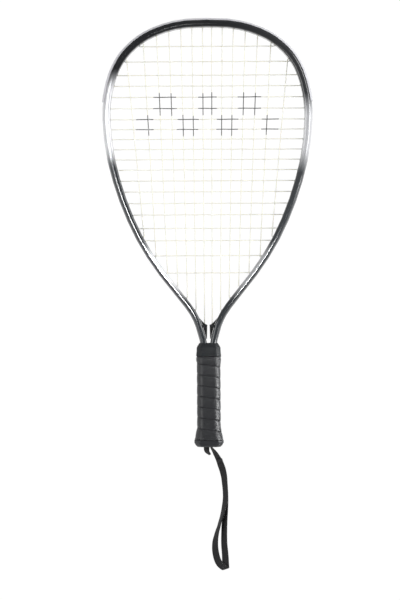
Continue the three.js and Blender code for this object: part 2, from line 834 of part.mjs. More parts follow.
// The wrist strap's route, chosen by hand: across, along, height above the surface it lies on and
// lean, in quarter turns, and on the fold the way that its width faces, in degrees. It leaves the
// slot, folds over flat at its far end and comes back on itself, where it is sewn.
const strapRoute = [
  [strapExit, buttEnd - strapStart, bedHeight, 1],
  [4.7, -283.3, 16.1, 0.76],
  [6.2, -285.4, 14.7, 0.67],
  [8.35, -289, 12.2, 0.54],
  [10.6, -293, 9.6, 0.46],
  [12.6, -297, 7.1, 0.36],
  [14.2, -301, 5, 0.24],
  [15.7, -305, 3.3, 0.12],
  [17.1, -309, 2.6, 0.1],
  [18.2, -313, 2.5, 0.17],
  [19.5, -319, 3, 0.31],
  [20.4, -328, 3.5, 0.42],
  [21.1, -337, 3.7, 0.46],
  [21.5, -347, 3.8, 0.47],
  [21.3, -356, 3.7, 0.45],
  [20.8, -365, 3.6, 0.43],
  [20.1, -375, 3.5, 0.41],
  [19.6, -386, 3.4, 0.39],
  [19.3, -397, 3.2, 0.35],
  [19.4, -408, 3, 0.3],
  [20.1, -417, 2.6, 0.22],
  [20.7, -425, 2.2, 0.15],
  [20.9, -431.5, 1.6, 0.08],
  [21.3, -437.9, 0.9, 0, 0],
  [21.4, -439.7, 1.6, 0.08, 8],
  [21.1, -440.6, 2.6, 0.12, 16],
  [20.5, -440.3, 3.6, 0.08, 25],
  [19.4, -439.4, 4, 0, 32],
  [16.9, -437.4, 3.9, 0, 39],
  [13.4, -434.2, 3.2, 0.04, 38],
  [11.2, -430.6, 2.6, 0.06],
  [9.7, -426.6, 2.3, 0.1],
  [8.5, -421.5, 2.3, 0.14],
  [7.6, -415.5, 2.7, 0.22],
  [7.4, -410, 3.1, 0.33],
  [7.7, -404.5, 3.5, 0.42],
  [8.8, -398, 4.1, 0.57],
  [10.5, -391, 4.5, 0.67],
  [12.4, -385, 4.7, 0.73],
  [14, -378.5, 5.2, 0.76],
  [15.7, -373, 6, 0.75],
  [17.7, -365.5, 6.7, 0.68],
  [19.8, -357, 7.1, 0.55],
  [21.2, -348, 7.2, 0.47],
  [21.1, -338, 7.1, 0.46],
  [20.3, -328, 6.8, 0.41],
  [19.4, -319, 6.3, 0.32],
  [18.2, -313, 5.7, 0.18],
  [17.2, -309, 5.6, 0.12],
  [15.8, -305, 6, 0.14],
  [14.4, -301, 7.4, 0.24],
  [13.3, -297.9, 8.8, 0.34],
  [12.7, -296, 9.8, 0.4],
];

// The short tail beside the strap, and the stub between the knot and the strap
const tailRoute = [
  [-2.4, -265, bedHeight, 0.4],
  [-3, -273, bedHeight, 0.4],
  [-3.2, -279.4, 17.3, 0.4],
  [-3.2, -282.6, 17.9, 0.42],
  [-2.8, -285, 18.7, 0.5],
  [-1.6, -286.9, 19.4, 0.64],
  [-0.2, -288.2, 20, 0.74],
  [1.3, -289.9, 20.5, 0.82],
];
const stubRoute = [
  [0.2, -265, bedHeight, 1],
  [1.6, -271, bedHeight, 0.95],
  [strapExit - stubShift, buttEnd - strapStart + stubGap, bedHeight, 1],
];

// A smooth curve through a route
function routeCurve(route) {
  return new THREE.CatmullRomCurve3(route.map(([x, y, z]) => new THREE.Vector3(x, y, z)));
}

// The way that the band's width faces at a point of its route: square to it, or as given
function facingAt(route, index) {
  const ahead = route[Math.min(index + 1, route.length - 1)];
  const behind = route[Math.max(index - 1, 0)];
  const square = Math.atan((behind[0] - ahead[0]) / (ahead[1] - behind[1]));
  return route[index].length > 4 ? THREE.MathUtils.degToRad(route[index][4]) : square;
}

// Where a flat band lies at a share of its route, and the ways of its width and thickness
function bandAt(curve, route, share) {
  const onRoute = share * (route.length - 1);
  const before = Math.min(Math.floor(onRoute), route.length - 2);
  const blend = (low, high) => THREE.MathUtils.lerp(low, high, onRoute - before);
  const lean = blend(route[before][3], route[before + 1][3]) * Math.PI / 2;
  const facing = blend(facingAt(route, before), facingAt(route, before + 1));
  const flat = new THREE.Vector3(Math.cos(facing), Math.sin(facing), 0).multiplyScalar(Math.cos(lean));
  const across = flat.setZ(Math.sin(lean));
  const through = new THREE.Vector3().crossVectors(curve.getTangent(share), across).normalize();
  return { middle: curve.getPoint(share), across, through };
}

// A flat band along a part of a route, leaning where the route says so
function webbing(route, width, [from, to], steps) {
  const curve = routeCurve(route);
  const x = width / 2;
  const y = strapThickness / 2;
  const corners = [[-x, -y], [x, -y], [x, y], [-x, y]];
  const rings = [];
  for (let step = from; step <= to; step += 1) {
    const { middle, across, through } = bandAt(curve, route, step / steps);
    rings.push(corners.map(([sideways, outward]) => {
      return middle.clone().addScaledVector(across, sideways).addScaledVector(through, outward);
    }));
  }
  return loft(rings);
}

// The strap: its two legs are joined, as its end is sewn down on its start
function wristStrap() {
  const middle = Math.round(strapSteps / 2);
  const start = solid(webbing(strapRoute, strapWidth, [0, middle + 1], strapSteps));
  const end = solid(webbing(strapRoute, strapWidth, [middle, strapSteps], strapSteps));
  return meshed(start.add(end));
}

// The knot in the butt cap, with the short tail and the start of the strap
function strapKnot() {
  const ball = new THREE.SphereGeometry(1, knotSides, knotSides / 2);
  ball.scale(knotWidth / 2, knotLength / 2, strapWidth / 2);
  const [across, along, height] = stubRoute[0];
  let knot = solid(ball.translate(across, along, height));
  knot = knot.add(solid(webbing(stubRoute, strapWidth, [0, stubSteps], stubSteps)));
  return meshed(knot.add(solid(webbing(tailRoute, strapWidth, [0, tailSteps], tailSteps))));
}

const knotSides = 12;
const stubSteps = 3;
const tailSteps = 14;

// The finishes
function finish(color, roughness, metalness = 0) {
  return new THREE.MeshStandardMaterial({ color, roughness, metalness });
}

const finishes = {
  lacquer: finish('#2c2c30', 0.25, 0.3),
  guard: finish('#c6c6ca', 0.5),
  nylon: finish('#26262a', 0.55),
  string: finish('#ecece0', 0.35),
  foam: finish('#55504a', 0.9),
  rubber: finish('#3c3e42', 0.7),
  leather: finish('#46464a', 0.6),
  webbing: finish('#28282b', 0.85),
};

// A named piece of the racket, its shape given about the middle of the string bed
const racket = new THREE.Group();
racket.position.z = bedHeight;
const object = new THREE.Group();
object.add(racket);

function place(parent, name, geometry, material) {
  const mesh = new THREE.Mesh(geometry, material.clone());
  mesh.name = name;
  parent.add(mesh);
  return mesh;
}

// The middle of the gap between the two seats on either side of a height
function betweenSeats(height) {
  const split = runAtHeight(height);
  const runs = seats.map((seat) => seat.run).filter((run) => run > 0);
  const before = Math.max(...runs.filter((run) => run <= split));
  const after = Math.min(...runs.filter((run) => run > split));
  return (before + after) / 2;
}

const stripSplit = betweenSeats(headTop - bumperDrop);
const stripEnd = footSeats[0].run + stripTail;
place(racket, 'frame_tube', frameTube(), finishes.lacquer);
place(racket, 'bumper_guard', bumperGuard(), finishes.guard);
place(racket, 'head_grommet_strip', grommetStrip(-stripSplit, stripSplit), finishes.nylon);
place(racket, 'left_grommet_strip', grommetStrip(-stripEnd, -stripSplit - fitGap), finishes.nylon);
place(racket, 'right_grommet_strip', grommetStrip(stripSplit + fitGap, stripEnd), finishes.nylon);
place(racket, 'main_string', mainString(), finishes.string);
place(racket, 'cross_string', crossString(), finishes.string);
place(racket, 'left_throat_cheek', throatCheek(-1), finishes.nylon);
place(racket, 'right_throat_cheek', throatCheek(1), finishes.nylon);
place(racket, 'front_handle_pallet', handlePallet(1), finishes.foam);
place(racket, 'back_handle_pallet', handlePallet(-1), finishes.foam);
place(racket, 'handle_core', handleCore(), finishes.foam);
place(racket, 'grip_collar', gripCollar(), finishes.rubber);
place(racket, 'grip_tape', gripTapeWinding(), finishes.leather);
place(racket, 'butt_cap', buttCap(), finishes.rubber);
place(object, 'strap_knot', strapKnot(), finishes.webbing);
place(object, 'wrist_strap', wristStrap(), finishes.webbing);

export default object;
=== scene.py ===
# %% [markdown]
# # A racquetball racket in a photographer's studio
#
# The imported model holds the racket's construction: a bent tube, its string bed, the handle and
# the wrist strap. This file gives every surface its finish, and makes the soft pieces again as
# fine meshes: the wound grip tape and the webbing. Everything is in metres, in the model's own
# frame: Y runs from the butt to the head, Z is up, out of the strings.

# %% The frame
import math

import bpy
from mathutils import Matrix, Vector, noise


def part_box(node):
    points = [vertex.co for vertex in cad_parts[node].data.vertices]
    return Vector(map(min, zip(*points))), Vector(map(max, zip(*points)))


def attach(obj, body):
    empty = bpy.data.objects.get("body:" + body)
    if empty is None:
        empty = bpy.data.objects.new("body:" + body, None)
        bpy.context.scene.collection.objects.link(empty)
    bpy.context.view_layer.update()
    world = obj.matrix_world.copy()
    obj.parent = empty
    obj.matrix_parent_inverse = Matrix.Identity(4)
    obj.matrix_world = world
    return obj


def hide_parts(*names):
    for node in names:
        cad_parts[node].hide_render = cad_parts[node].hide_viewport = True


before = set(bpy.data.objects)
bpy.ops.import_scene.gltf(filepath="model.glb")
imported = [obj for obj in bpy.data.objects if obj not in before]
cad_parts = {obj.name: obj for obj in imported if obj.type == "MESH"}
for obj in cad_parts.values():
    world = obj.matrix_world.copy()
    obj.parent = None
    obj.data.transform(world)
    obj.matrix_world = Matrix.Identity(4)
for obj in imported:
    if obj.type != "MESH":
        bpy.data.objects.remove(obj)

bpy.context.view_layer.update()
MM = 0.001
UP = Vector((0, 0, 1))
print("nodes:", ", ".join(sorted(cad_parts)))

# %% [markdown]
# ## The camera
#
# A catalogue photograph of a flat thing is taken from straight above, with a long lens from a few
# metres away, so that near and far parts keep their proportions. A short lens close by would show
# more of the tube's inner wall. The camera's place follows from where the racket's middle lies in
# the frame and from how many millimetres one pixel spans. The slight roll is the racket's own: it
# wasn't laid quite square.

# %% Camera
FRAME_SIZE = (400, 600)
MIDDLE_PIXEL = (208, 232.25)
PIXEL_SPAN = 1.304 * MM
CAMERA_HEIGHT = 2.95
ROLL = math.radians(0.28)
SENSOR = 36

tube_low, tube_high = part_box("frame_tube")
BED_HEIGHT = (tube_low.z + tube_high.z) / 2


def aim_camera():
    """A camera straight above, which sees the racket where the photograph has it."""
    data = bpy.data.cameras.new("studio_camera")
    camera = bpy.data.objects.new("studio_camera", data)
    bpy.context.scene.collection.objects.link(camera)
    bpy.context.scene.camera = camera
    span = FRAME_SIZE[1] * PIXEL_SPAN
    data.sensor_width = SENSOR
    data.lens = SENSOR * (CAMERA_HEIGHT - BED_HEIGHT) / span
    shift_right = (FRAME_SIZE[0] / 2 - MIDDLE_PIXEL[0]) * PIXEL_SPAN
    shift_up = (MIDDLE_PIXEL[1] - FRAME_SIZE[1] / 2) * PIXEL_SPAN
    turn = Matrix.Rotation(-ROLL, 4, "Z")
    camera.location = turn @ Vector((shift_right, shift_up, CAMERA_HEIGHT))
    camera.rotation_euler = (0, 0, -ROLL)
    return camera


camera = aim_camera()
print("bed height in mm:", round(BED_HEIGHT / MM, 2))
print("lens:", round(camera.data.lens, 1), "mm at", [round(c, 4) for c in camera.location])

# %% [markdown]
# ## Nodes and colours
#
# A material is a small graph that ends in a shader. One helper adds any node, sets what needs
# setting and joins what feeds it, so that each material below reads as a list of steps. Colours are
# written as a painter or a web page has them, in sRGB, and one function turns them into the linear
# values that light is reckoned in. A pattern's scale comes from its real size in millimetres.

# %% Helpers for materials


def linear(hex_colour):
    """The linear colour of an sRGB hex value such as 'c0c0c0'."""
    parts = [int(hex_colour[i:i + 2], 16) / 255 for i in (0, 2, 4)]
    return (*[c / 12.92 if c <= 0.04045 else ((c + 0.055) / 1.055) ** 2.4 for c in parts], 1)


def bare_tree(owner):
    """The node tree of a material or a world, emptied."""
    owner.use_nodes = True
    owner.node_tree.nodes.clear()
    return owner.node_tree


def feed(tree, node, inputs):
    """Sets a node's inputs. Each is a value, or a (node, output) pair that feeds it."""
    for name, value in inputs.items():
        if isinstance(value, tuple) and isinstance(value[0], bpy.types.Node):
            tree.links.new(value[0].outputs[value[1]], node.inputs[name])
        else:
            node.inputs[name].default_value = value


def add(tree, kind, inputs=None, **settings):
    """Adds a node with its settings and inputs."""
    node = tree.nodes.new(kind)
    for name, value in settings.items():
        setattr(node, name, value)
    feed(tree, node, inputs or {})
    return node


def new_material(name):
    """A material, its graph, its shader and the coordinates that its patterns start from."""
    material = bpy.data.materials.new(name)
    tree = bare_tree(material)
    shader = add(tree, "ShaderNodeBsdfPrincipled")
    add(tree, "ShaderNodeOutputMaterial", {"Surface": (shader, "BSDF")})
    return material, tree, shader, add(tree, "ShaderNodeTexCoord")


def per_metre(size_mm):
    """A texture's scale for a pattern of that size, where coordinates are in metres."""
    return 1 / (size_mm * MM)


print("mid grey is", [round(c, 3) for c in linear("808080")])

# %% [markdown]
# ## Meshes from rings
#
# Tape and webbing are long things with one section. Each is a row of rings, joined by quads and
# closed at its ends. A curve with a bevel would be quicker, but it can't turn the webbing on its
# edge or thin the tape towards its end. The UV map holds real distances in metres, round the
# section and along the piece, so that a weave keeps its thread spacing.

# %% Helpers for meshes


def skin(name, rings, material):
    """A closed mesh over rings of points, with distances round and along it as its UV map."""
    sides = len(rings[0])
    faces = []
    for ring in range(len(rings) - 1):
        for side in range(sides):
            a = ring * sides + side
            b = ring * sides + (side + 1) % sides
            faces.append((a, b, b + sides, a + sides))
    last = (len(rings) - 1) * sides
    faces.append(tuple(reversed(range(sides))))
    faces.append(tuple(range(last, last + sides)))
    mesh = bpy.data.meshes.new(name)
    mesh.from_pydata([point for ring in rings for point in ring], [], faces)
    round_section = distances([*rings[0], rings[0][0]])
    along = distances([sum(ring, Vector()) / sides for ring in rings])
    layer = mesh.uv_layers.new(name="distances")
    for face in mesh.polygons[:-2]:
        ring, side = divmod(face.index, sides)
        corners = ((side, ring), (side + 1, ring), (side + 1, ring + 1), (side, ring + 1))
        for loop, (across, step) in zip(face.loop_indices, corners):
            layer.data[loop].uv = (round_section[across], along[step])
    mesh.polygons.foreach_set("use_smooth", [True] * len(mesh.polygons))
    mesh.validate()
    piece = bpy.data.objects.new(name, mesh)
    bpy.context.scene.collection.objects.link(piece)
    piece.data.materials.append(material)
    return piece


def distances(points):
    """How far along a line each of its points is."""
    reached = [0]
    for before, after in zip(points, points[1:]):
        reached.append(reached[-1] + (after - before).length)
    return reached


def at_distance(points, reached, wanted):
    """The point of a line at a distance from its start, with any numbers kept beside it."""
    for index in range(len(points) - 1):
        if reached[index + 1] >= wanted or index == len(points) - 2:
            share = (wanted - reached[index]) / (reached[index + 1] - reached[index])
            return [a + (b - a) * share for a, b in zip(points[index], points[index + 1])]


print("half way along a line of 4:", at_distance([(0,), (4,)], [0, 4], 2))

# %% [markdown]
# ## The wrist strap's finish
#
# The strap is nylon webbing: thick threads woven over and under, dyed black. Seen close, it shows
# rows of slanted ribs, and the sheen of its fibres lifts its outline a little. Its edges are
# painted darker, as painted shade where its sides turn away from the light. The ribs are painted
# darker in their grooves, partly the weave's tone and partly painted shade. A slanted wave draws
# the ribs and fine noise breaks them up; modelled ribs would only slow the scene. Real ribs lie
# about 0.6 mm apart. They are drawn at 1.1 mm, as a pixel of the photograph spans 1.3 mm. A wave
# node goes through about three waves in one unit, which the factor beside its scale makes good.

# %% Nylon webbing
THREAD_SPACING_MM = 1.1
STRAP_WIDTH = 9 * MM
STRAP_THICKNESS = 1.6 * MM
STRAP_GIRTH = 20.4 * MM
FIBRE_MM = 0.6
RIB_SLANT = 28
WAVE_PER_UNIT = 2 / math.tau


def nylon_webbing():
    """Black webbing with slanted ribs, its edges and grooves darkened with painted shade."""
    material, tree, shader, place = new_material("nylon_webbing")
    turn = add(tree, "ShaderNodeMapping", {
        "Vector": (place, "UV"), "Rotation": (0, 0, math.radians(RIB_SLANT)),
    })
    ribs = add(tree, "ShaderNodeTexWave", {
        "Vector": (turn, "Vector"), "Scale": per_metre(THREAD_SPACING_MM) * WAVE_PER_UNIT,
        "Distortion": 0.6, "Detail": 1, "Detail Scale": 3,
    }, bands_direction="Y", wave_profile="SIN")
    fibres = add(tree, "ShaderNodeTexNoise", {
        "Vector": (place, "Object"), "Scale": per_metre(FIBRE_MM), "Detail": 4,
    })
    height = add(tree, "ShaderNodeMath", {
        0: (ribs, "Fac"), 1: (fibres, "Fac"),
    }, operation="MULTIPLY")
    # Partly painted shade: the ribs' colour follows their bump height, lighter on raised tops and
    # darker in the grooves.
    colour = add(tree, "ShaderNodeValToRGB", {"Fac": (height, "Value")})
    colour.color_ramp.elements[0].color = linear("0a0a0b")
    colour.color_ramp.elements[1].color = linear("1e1e20")
    colour.color_ramp.elements[1].position = 0.7
    # Painted shade: the colour darkens towards both edges of the section, where the sides turn away
    # from the light.
    way = add(tree, "ShaderNodeSeparateXYZ", {"Vector": (place, "UV")})
    turned = add(tree, "ShaderNodeMath", {
        0: (way, "X"), 1: math.tau / STRAP_GIRTH,
    }, operation="MULTIPLY")
    swing = add(tree, "ShaderNodeMath", {0: (turned, "Value")}, operation="COSINE")
    nearness = add(tree, "ShaderNodeMath", {0: (swing, "Value")}, operation="ABSOLUTE")
    edge = add(tree, "ShaderNodeMapRange", {
        "Value": (nearness, "Value"), "From Min": 0.8, "From Max": 0.92, "To Max": 0.75,
    }, interpolation_type="SMOOTHSTEP")
    edge_shaded = add(tree, "ShaderNodeMix", {
        0: (edge, "Result"), 6: (colour, "Color"), 7: linear("09090a"),
    }, data_type="RGBA")
    bump = add(tree, "ShaderNodeBump", {
        "Height": (height, "Value"), "Strength": 0.7, "Distance": 0.25 * MM,
    })
    feed(tree, shader, {
        "Base Color": (edge_shaded, 2), "Normal": (bump, "Normal"), "Roughness": 0.75,
        "Sheen Weight": 0.08, "Sheen Roughness": 0.4,
    })
    return material


WEBBING = nylon_webbing()
print("webbing ribs every", THREAD_SPACING_MM, "mm")

# %% [markdown]
# ## The wrist strap
#
# The strap is one length of flat webbing. It leaves the butt's slot on its edge, leans over as it
# falls to the table, is folded over flat at its far end and comes back on itself, where its end is
# sewn down. Its route is a list of points chosen from the photograph, in millimetres: across,
# along, height above the table and lean in quarter turns. On the fold a fifth number says which way
# the width faces, in degrees, because a folded band turns there. Cloth simulation would give no
# control over where the loop lies, so the webbing is swept along a smooth curve instead.

# %% The strap's route
BED_MM = BED_HEIGHT / MM
STRAP_ROUTE = [
    (2.3, -278.6, BED_MM, 0.88),
    (3.4, -281.3, BED_MM, 0.82, 26),
    (4.7, -283.3, 16.1, 0.76),
    (6.2, -285.4, 14.7, 0.67),
    (8.35, -289, 12.2, 0.54),
    (10.6, -293, 9.6, 0.46),
    (12.6, -297, 7.1, 0.36),
    (14.2, -301, 5, 0.24),
    (15.7, -305, 3.3, 0.12),
    (17.1, -309, 2.6, 0.1),
    (18.2, -313, 2.5, 0.17),
    (19.5, -319, 3, 0.31),
    (20.4, -328, 3.5, 0.42),
    (21.1, -337, 3.7, 0.46),
    (21.5, -347, 3.8, 0.47),
    (21.3, -356, 3.7, 0.45),
    (20.8, -365, 3.6, 0.43),
    (20.1, -375, 3.5, 0.41),
    (19.6, -386, 3.4, 0.39),
    (19.3, -397, 3.2, 0.35),
    (19.4, -408, 3, 0.3),
    (20.1, -417, 2.6, 0.22),
    (20.7, -425, 2.2, 0.15),
    (20.9, -431.5, 1.6, 0.08),
    (21.3, -437.9, 0.9, 0, 0),
    (21.4, -439.7, 1.6, 0.08, 8),
    (21.1, -440.6, 2.6, 0.12, 16),
    (20.5, -440.3, 3.6, 0.08, 25),
    (19.4, -439.4, 4, 0, 32),
    (16.9, -437.4, 3.9, 0, 39),
    (13.4, -434.2, 3.2, 0.04, 38),
    (11.2, -430.6, 2.6, 0.06),
    (9.7, -426.6, 2.3, 0.1),
    (8.5, -421.5, 2.3, 0.14),
    (7.6, -415.5, 2.7, 0.22),
    (7.4, -410, 3.1, 0.33),
    (7.7, -404.5, 3.5, 0.42),
    (8.8, -398, 4.1, 0.57),
    (10.5, -391, 4.5, 0.67),
    (12.4, -385, 4.7, 0.73),
    (14, -378.5, 5.2, 0.76),
    (15.7, -373, 6, 0.75),
    (17.7, -365.5, 6.7, 0.68),
    (19.8, -357, 7.1, 0.55),
    (21.2, -348, 7.2, 0.47),
    (21.1, -338, 7.1, 0.46),
    (20.3, -328, 6.8, 0.41),
    (19.4, -319, 6.3, 0.32),
    (18.2, -313, 5.7, 0.18),
    (17.2, -309, 5.6, 0.12),
    (15.8, -305, 6, 0.14),
    (14.4, -301, 7.4, 0.24),
    (13.7, -297.9, 8.8, 0.34),
    (13.3, -296.2, 9.7, 0.38),
]
print("points on the strap's route:", len(STRAP_ROUTE))

# %% [markdown]
# A smooth curve through the points is cut into even steps. A curve object could do this too, but
# it wouldn't carry the lean and the facing along.

# %% A smooth route
ROUTE_STEP = 0.7 * MM
STEPS_BETWEEN_POINTS = 16


def between(p0, p1, p2, p3, share):
    """A point between p1 and p2 on a smooth curve through all four."""
    knots = [0]
    for before, after in ((p0, p1), (p1, p2), (p2, p3)):
        knots.append(knots[-1] + (after - before).length ** 0.5)
    t = knots[1] + (knots[2] - knots[1]) * share

    def mix(a, b, low, high):
        return a + (b - a) * ((t - low) / (high - low))

    a = mix(p0, p1, knots[0], knots[1])
    b = mix(p1, p2, knots[1], knots[2])
    c = mix(p2, p3, knots[2], knots[3])
    return mix(mix(a, b, knots[0], knots[2]), mix(b, c, knots[1], knots[3]), knots[1], knots[2])


def facing_at(route, index):
    """The way the width faces at a point of a route: square to it, or as the point says."""
    if len(route[index]) > 4:
        return math.radians(route[index][4])
    ahead = route[min(index + 1, len(route) - 1)]
    behind = route[max(index - 1, 0)]
    return math.atan((behind[0] - ahead[0]) / (ahead[1] - behind[1]))


def smooth_route(route):
    """Even steps along a smooth curve, each with its place, lean and facing, and its length."""
    spots = [Vector(point[:3]) * MM for point in route]
    spots = [2 * spots[0] - spots[1], *spots, 2 * spots[-1] - spots[-2]]
    ways = [(point[3], facing_at(route, index)) for index, point in enumerate(route)]
    fine = []
    for index in range(len(route) - 1):
        for step in range(STEPS_BETWEEN_POINTS):
            share = step / STEPS_BETWEEN_POINTS
            way = [a + (b - a) * share for a, b in zip(ways[index], ways[index + 1])]
            fine.append((*between(*spots[index:index + 4], share), *way))
    fine.append((*spots[-2], *ways[-1]))
    reached = distances([Vector(point[:3]) for point in fine])
    count = round(reached[-1] / ROUTE_STEP)
    evenly = [at_distance(fine, reached, reached[-1] * step / count) for step in range(count + 1)]
    return [(Vector(point[:3]), *point[3:]) for point in evenly], reached[-1]


def band_frames(steps):
    """Place, heading, width's way and thickness's way at each step of a flat band."""
    frames = []
    for index, (spot, lean, facing) in enumerate(steps):
        ahead = steps[min(index + 1, len(steps) - 1)][0]
        behind = steps[max(index - 1, 0)][0]
        heading = (ahead - behind).normalized()
        angle = lean * math.pi / 2
        flat = Vector((math.cos(facing), math.sin(facing), 0)) * math.cos(angle)
        across = flat + UP * math.sin(angle)
        frames.append((spot, heading, across, heading.cross(across).normalized()))
    return frames


strap_steps, STRAP_LENGTH = smooth_route(STRAP_ROUTE)
strap_frames = band_frames(strap_steps)
print("strap length:", round(STRAP_LENGTH / MM, 1), "mm in", len(strap_steps), "steps")

# %% [markdown]
# The webbing's section is a flat oval with blunt edges, a little fuller in the middle than a plain
# strip. It is the same for the strap, for its short tail and for the knot.

# %% The strap
SECTION_SIDES = 20
WIDTH_POWER = 0.45
THICKNESS_POWER = 0.7


def webbing_section(width, thickness):
    """The section's points. With both powers at 1 it would be an ellipse."""
    points = []
    for step in range(SECTION_SIDES):
        angle = math.tau * step / SECTION_SIDES
        across = math.copysign(abs(math.cos(angle)) ** WIDTH_POWER, math.cos(angle))
        through = math.copysign(abs(math.sin(angle)) ** THICKNESS_POWER, math.sin(angle))
        points.append((across * width / 2, through * thickness / 2))
    return points


def webbing(name, frames, width, thickness):
    """Webbing swept along its frames."""
    section = webbing_section(width, thickness)
    rings = [
        [spot + across * sideways + through * outward for sideways, outward in section]
        for spot, heading, across, through in frames
    ]
    return skin(name, rings, WEBBING)


strap = webbing("wrist_strap_webbing", strap_frames, STRAP_WIDTH, STRAP_THICKNESS)
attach(strap, "strap")
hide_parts("wrist_strap")
print("strap faces:", len(strap.data.polygons))

# %% [markdown]
# ## The tail and the knot
#
# The tail is the webbing's other end, which stands on its edge beside the strap. Inside the cap
# both are knotted, so that they can't pull out. The knot is hardly seen through the slot, so it is
# one loop of thin webbing along a trefoil, the curve of an overhand knot, and not a tied strap.

# %% Tail and knot
TAIL_ROUTE = [
    (-2.4, -265, BED_MM, 0.4),
    (-3, -273, BED_MM, 0.4),
    (-3.2, -279.4, 17.3, 0.4),
    (-3.2, -282.6, 17.9, 0.42),
    (-2.8, -285, 18.7, 0.5),
    (-1.6, -286.9, 19.4, 0.64),
    (-0.2, -288.2, 20, 0.74),
    (1.3, -289.9, 20.5, 0.82),
]
KNOT_MIDDLE = Vector((0.0002, -0.2650, BED_HEIGHT))
KNOT_SCALE = (1.4 * MM, 1.1 * MM, 1.3 * MM)
KNOT_STEPS = 96
KNOT_SHARE = 0.97
KNOT_LEAN = 0.3
KNOT_BAND = (2.6 * MM, 1.5 * MM)


def knot_lump():
    """A lumpy overhand knot: thin webbing wound as a trefoil that isn't quite closed."""
    steps = []
    for step in range(KNOT_STEPS + 1):
        t = math.tau * step / KNOT_STEPS * KNOT_SHARE
        trefoil = (
            math.sin(t) + 2 * math.sin(2 * t),
            math.cos(t) - 2 * math.cos(2 * t),
            -math.sin(3 * t),
        )
        offset = Vector([part * scale for part, scale in zip(trefoil, KNOT_SCALE)])
        steps.append((KNOT_MIDDLE + offset, KNOT_LEAN, 0))
    return webbing("strap_knot_lump", band_frames(steps), *KNOT_BAND)


tail_steps, TAIL_LENGTH = smooth_route(TAIL_ROUTE)
tail = webbing("strap_tail_end", band_frames(tail_steps), STRAP_WIDTH, STRAP_THICKNESS)
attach(tail, "racket")
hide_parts("strap_knot")
knot = knot_lump()
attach(knot, "racket")
print("tail length:", round(TAIL_LENGTH / MM, 1), "mm")

# %% [markdown]
# ## The stitches
#
# The strap's returned end is held by two rows of stitches. Each row is one thread that runs to and
# fro across the outer layer, half sunk into the cloth. A bump would do from afar, but raised thread
# catches the light at its ends, so it is modelled. One stitch is four points, each a share of the
# webbing's width and of its thickness. Polyester thread has a silky shine on its twist, which
# repeats every third of a millimetre; it is a painted highlight, lighter slanted bands in the
# thread's colour, drawn at 1 mm, to show.

# %% Stitches
TACK_DISTANCES_MM = (2.4, 9.6)
STITCHES = 8
STITCH_STEP = 0.42 * MM
THREAD_RADIUS = 0.22 * MM
THREAD_SIDES = 8
TWIST_MM = 1
THREAD_RUN = [(-0.36, 0.36), (-0.3, 0.5), (0.3, 0.5), (0.36, 0.36)]


def polyester_thread():
    """Dyed sewing thread, the shine of its slanted twist painted in as lighter bands."""
    material, tree, shader, place = new_material("polyester_thread")
    twist_shine = add(tree, "ShaderNodeTexWave", {
        "Vector": (place, "Object"), "Scale": per_metre(TWIST_MM) * WAVE_PER_UNIT,
    }, bands_direction="DIAGONAL")
    # Painted highlight: the twist's shine is painted into the colour as lighter slanted bands.
    colour = add(tree, "ShaderNodeMix", {
        0: (twist_shine, "Fac"), 6: linear("101011"), 7: linear("2c2c2f"),
    }, data_type="RGBA")
    feed(tree, shader, {"Base Color": (colour, 2), "Roughness": 0.5})
    return material


def tack(name, distance, material):
    """One row of stitches across the strap's outer layer, at a distance from its end."""
    spots = []
    for stitch in range(STITCHES + 1):
        back = distance + (stitch - STITCHES / 2) * STITCH_STEP
        steps_back = round(back / ROUTE_STEP)
        spot, heading, across, through = strap_frames[-1 - steps_back]
        spot = spot + heading * (steps_back * ROUTE_STEP - back)
        side = 1 if stitch % 2 else -1
        for share, lift in THREAD_RUN:
            sideways = across * STRAP_WIDTH * share * side
            spots.append(spot + sideways - through * STRAP_THICKNESS * lift)
    out = through  # one way for the whole row
    rings = []
    for index, spot in enumerate(spots):
        ahead = spots[min(index + 1, len(spots) - 1)] - spots[max(index - 1, 0)]
        aside = ahead.normalized().cross(out).normalized()
        turns = [math.tau * step / THREAD_SIDES for step in range(THREAD_SIDES)]
        rings.append([
            spot + (aside * math.cos(turn) + out * math.sin(turn)) * THREAD_RADIUS
            for turn in turns
        ])
    return skin(name, rings, material)


THREAD = polyester_thread()
tacks = [
    tack(f"strap_tack_{number}", distance * MM, THREAD)
    for number, distance in enumerate(TACK_DISTANCES_MM, 1)
]
for row in tacks:
    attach(row, "strap")
print("stitches in a row:", STITCHES)

# %% [markdown]
# A cord is known by its facts. Here the strap's length and width are printed.

# %% The cord's facts
print("cord length:", round(STRAP_LENGTH / MM, 1), "mm, width:", STRAP_WIDTH / MM, "mm")

# %% [markdown]
# ## The studio
#
# The background is plain white, so the table and the world show as white to the camera. What
# lights the racket is apart from that. The surround is pale at the sides and dimmer overhead, so
# that flat black faces stay dark and sloping ones lighten. A photographed room would bring in
# colours of its own.

# %% Surround
ZENITH = 0.2
HORIZON = 0.5


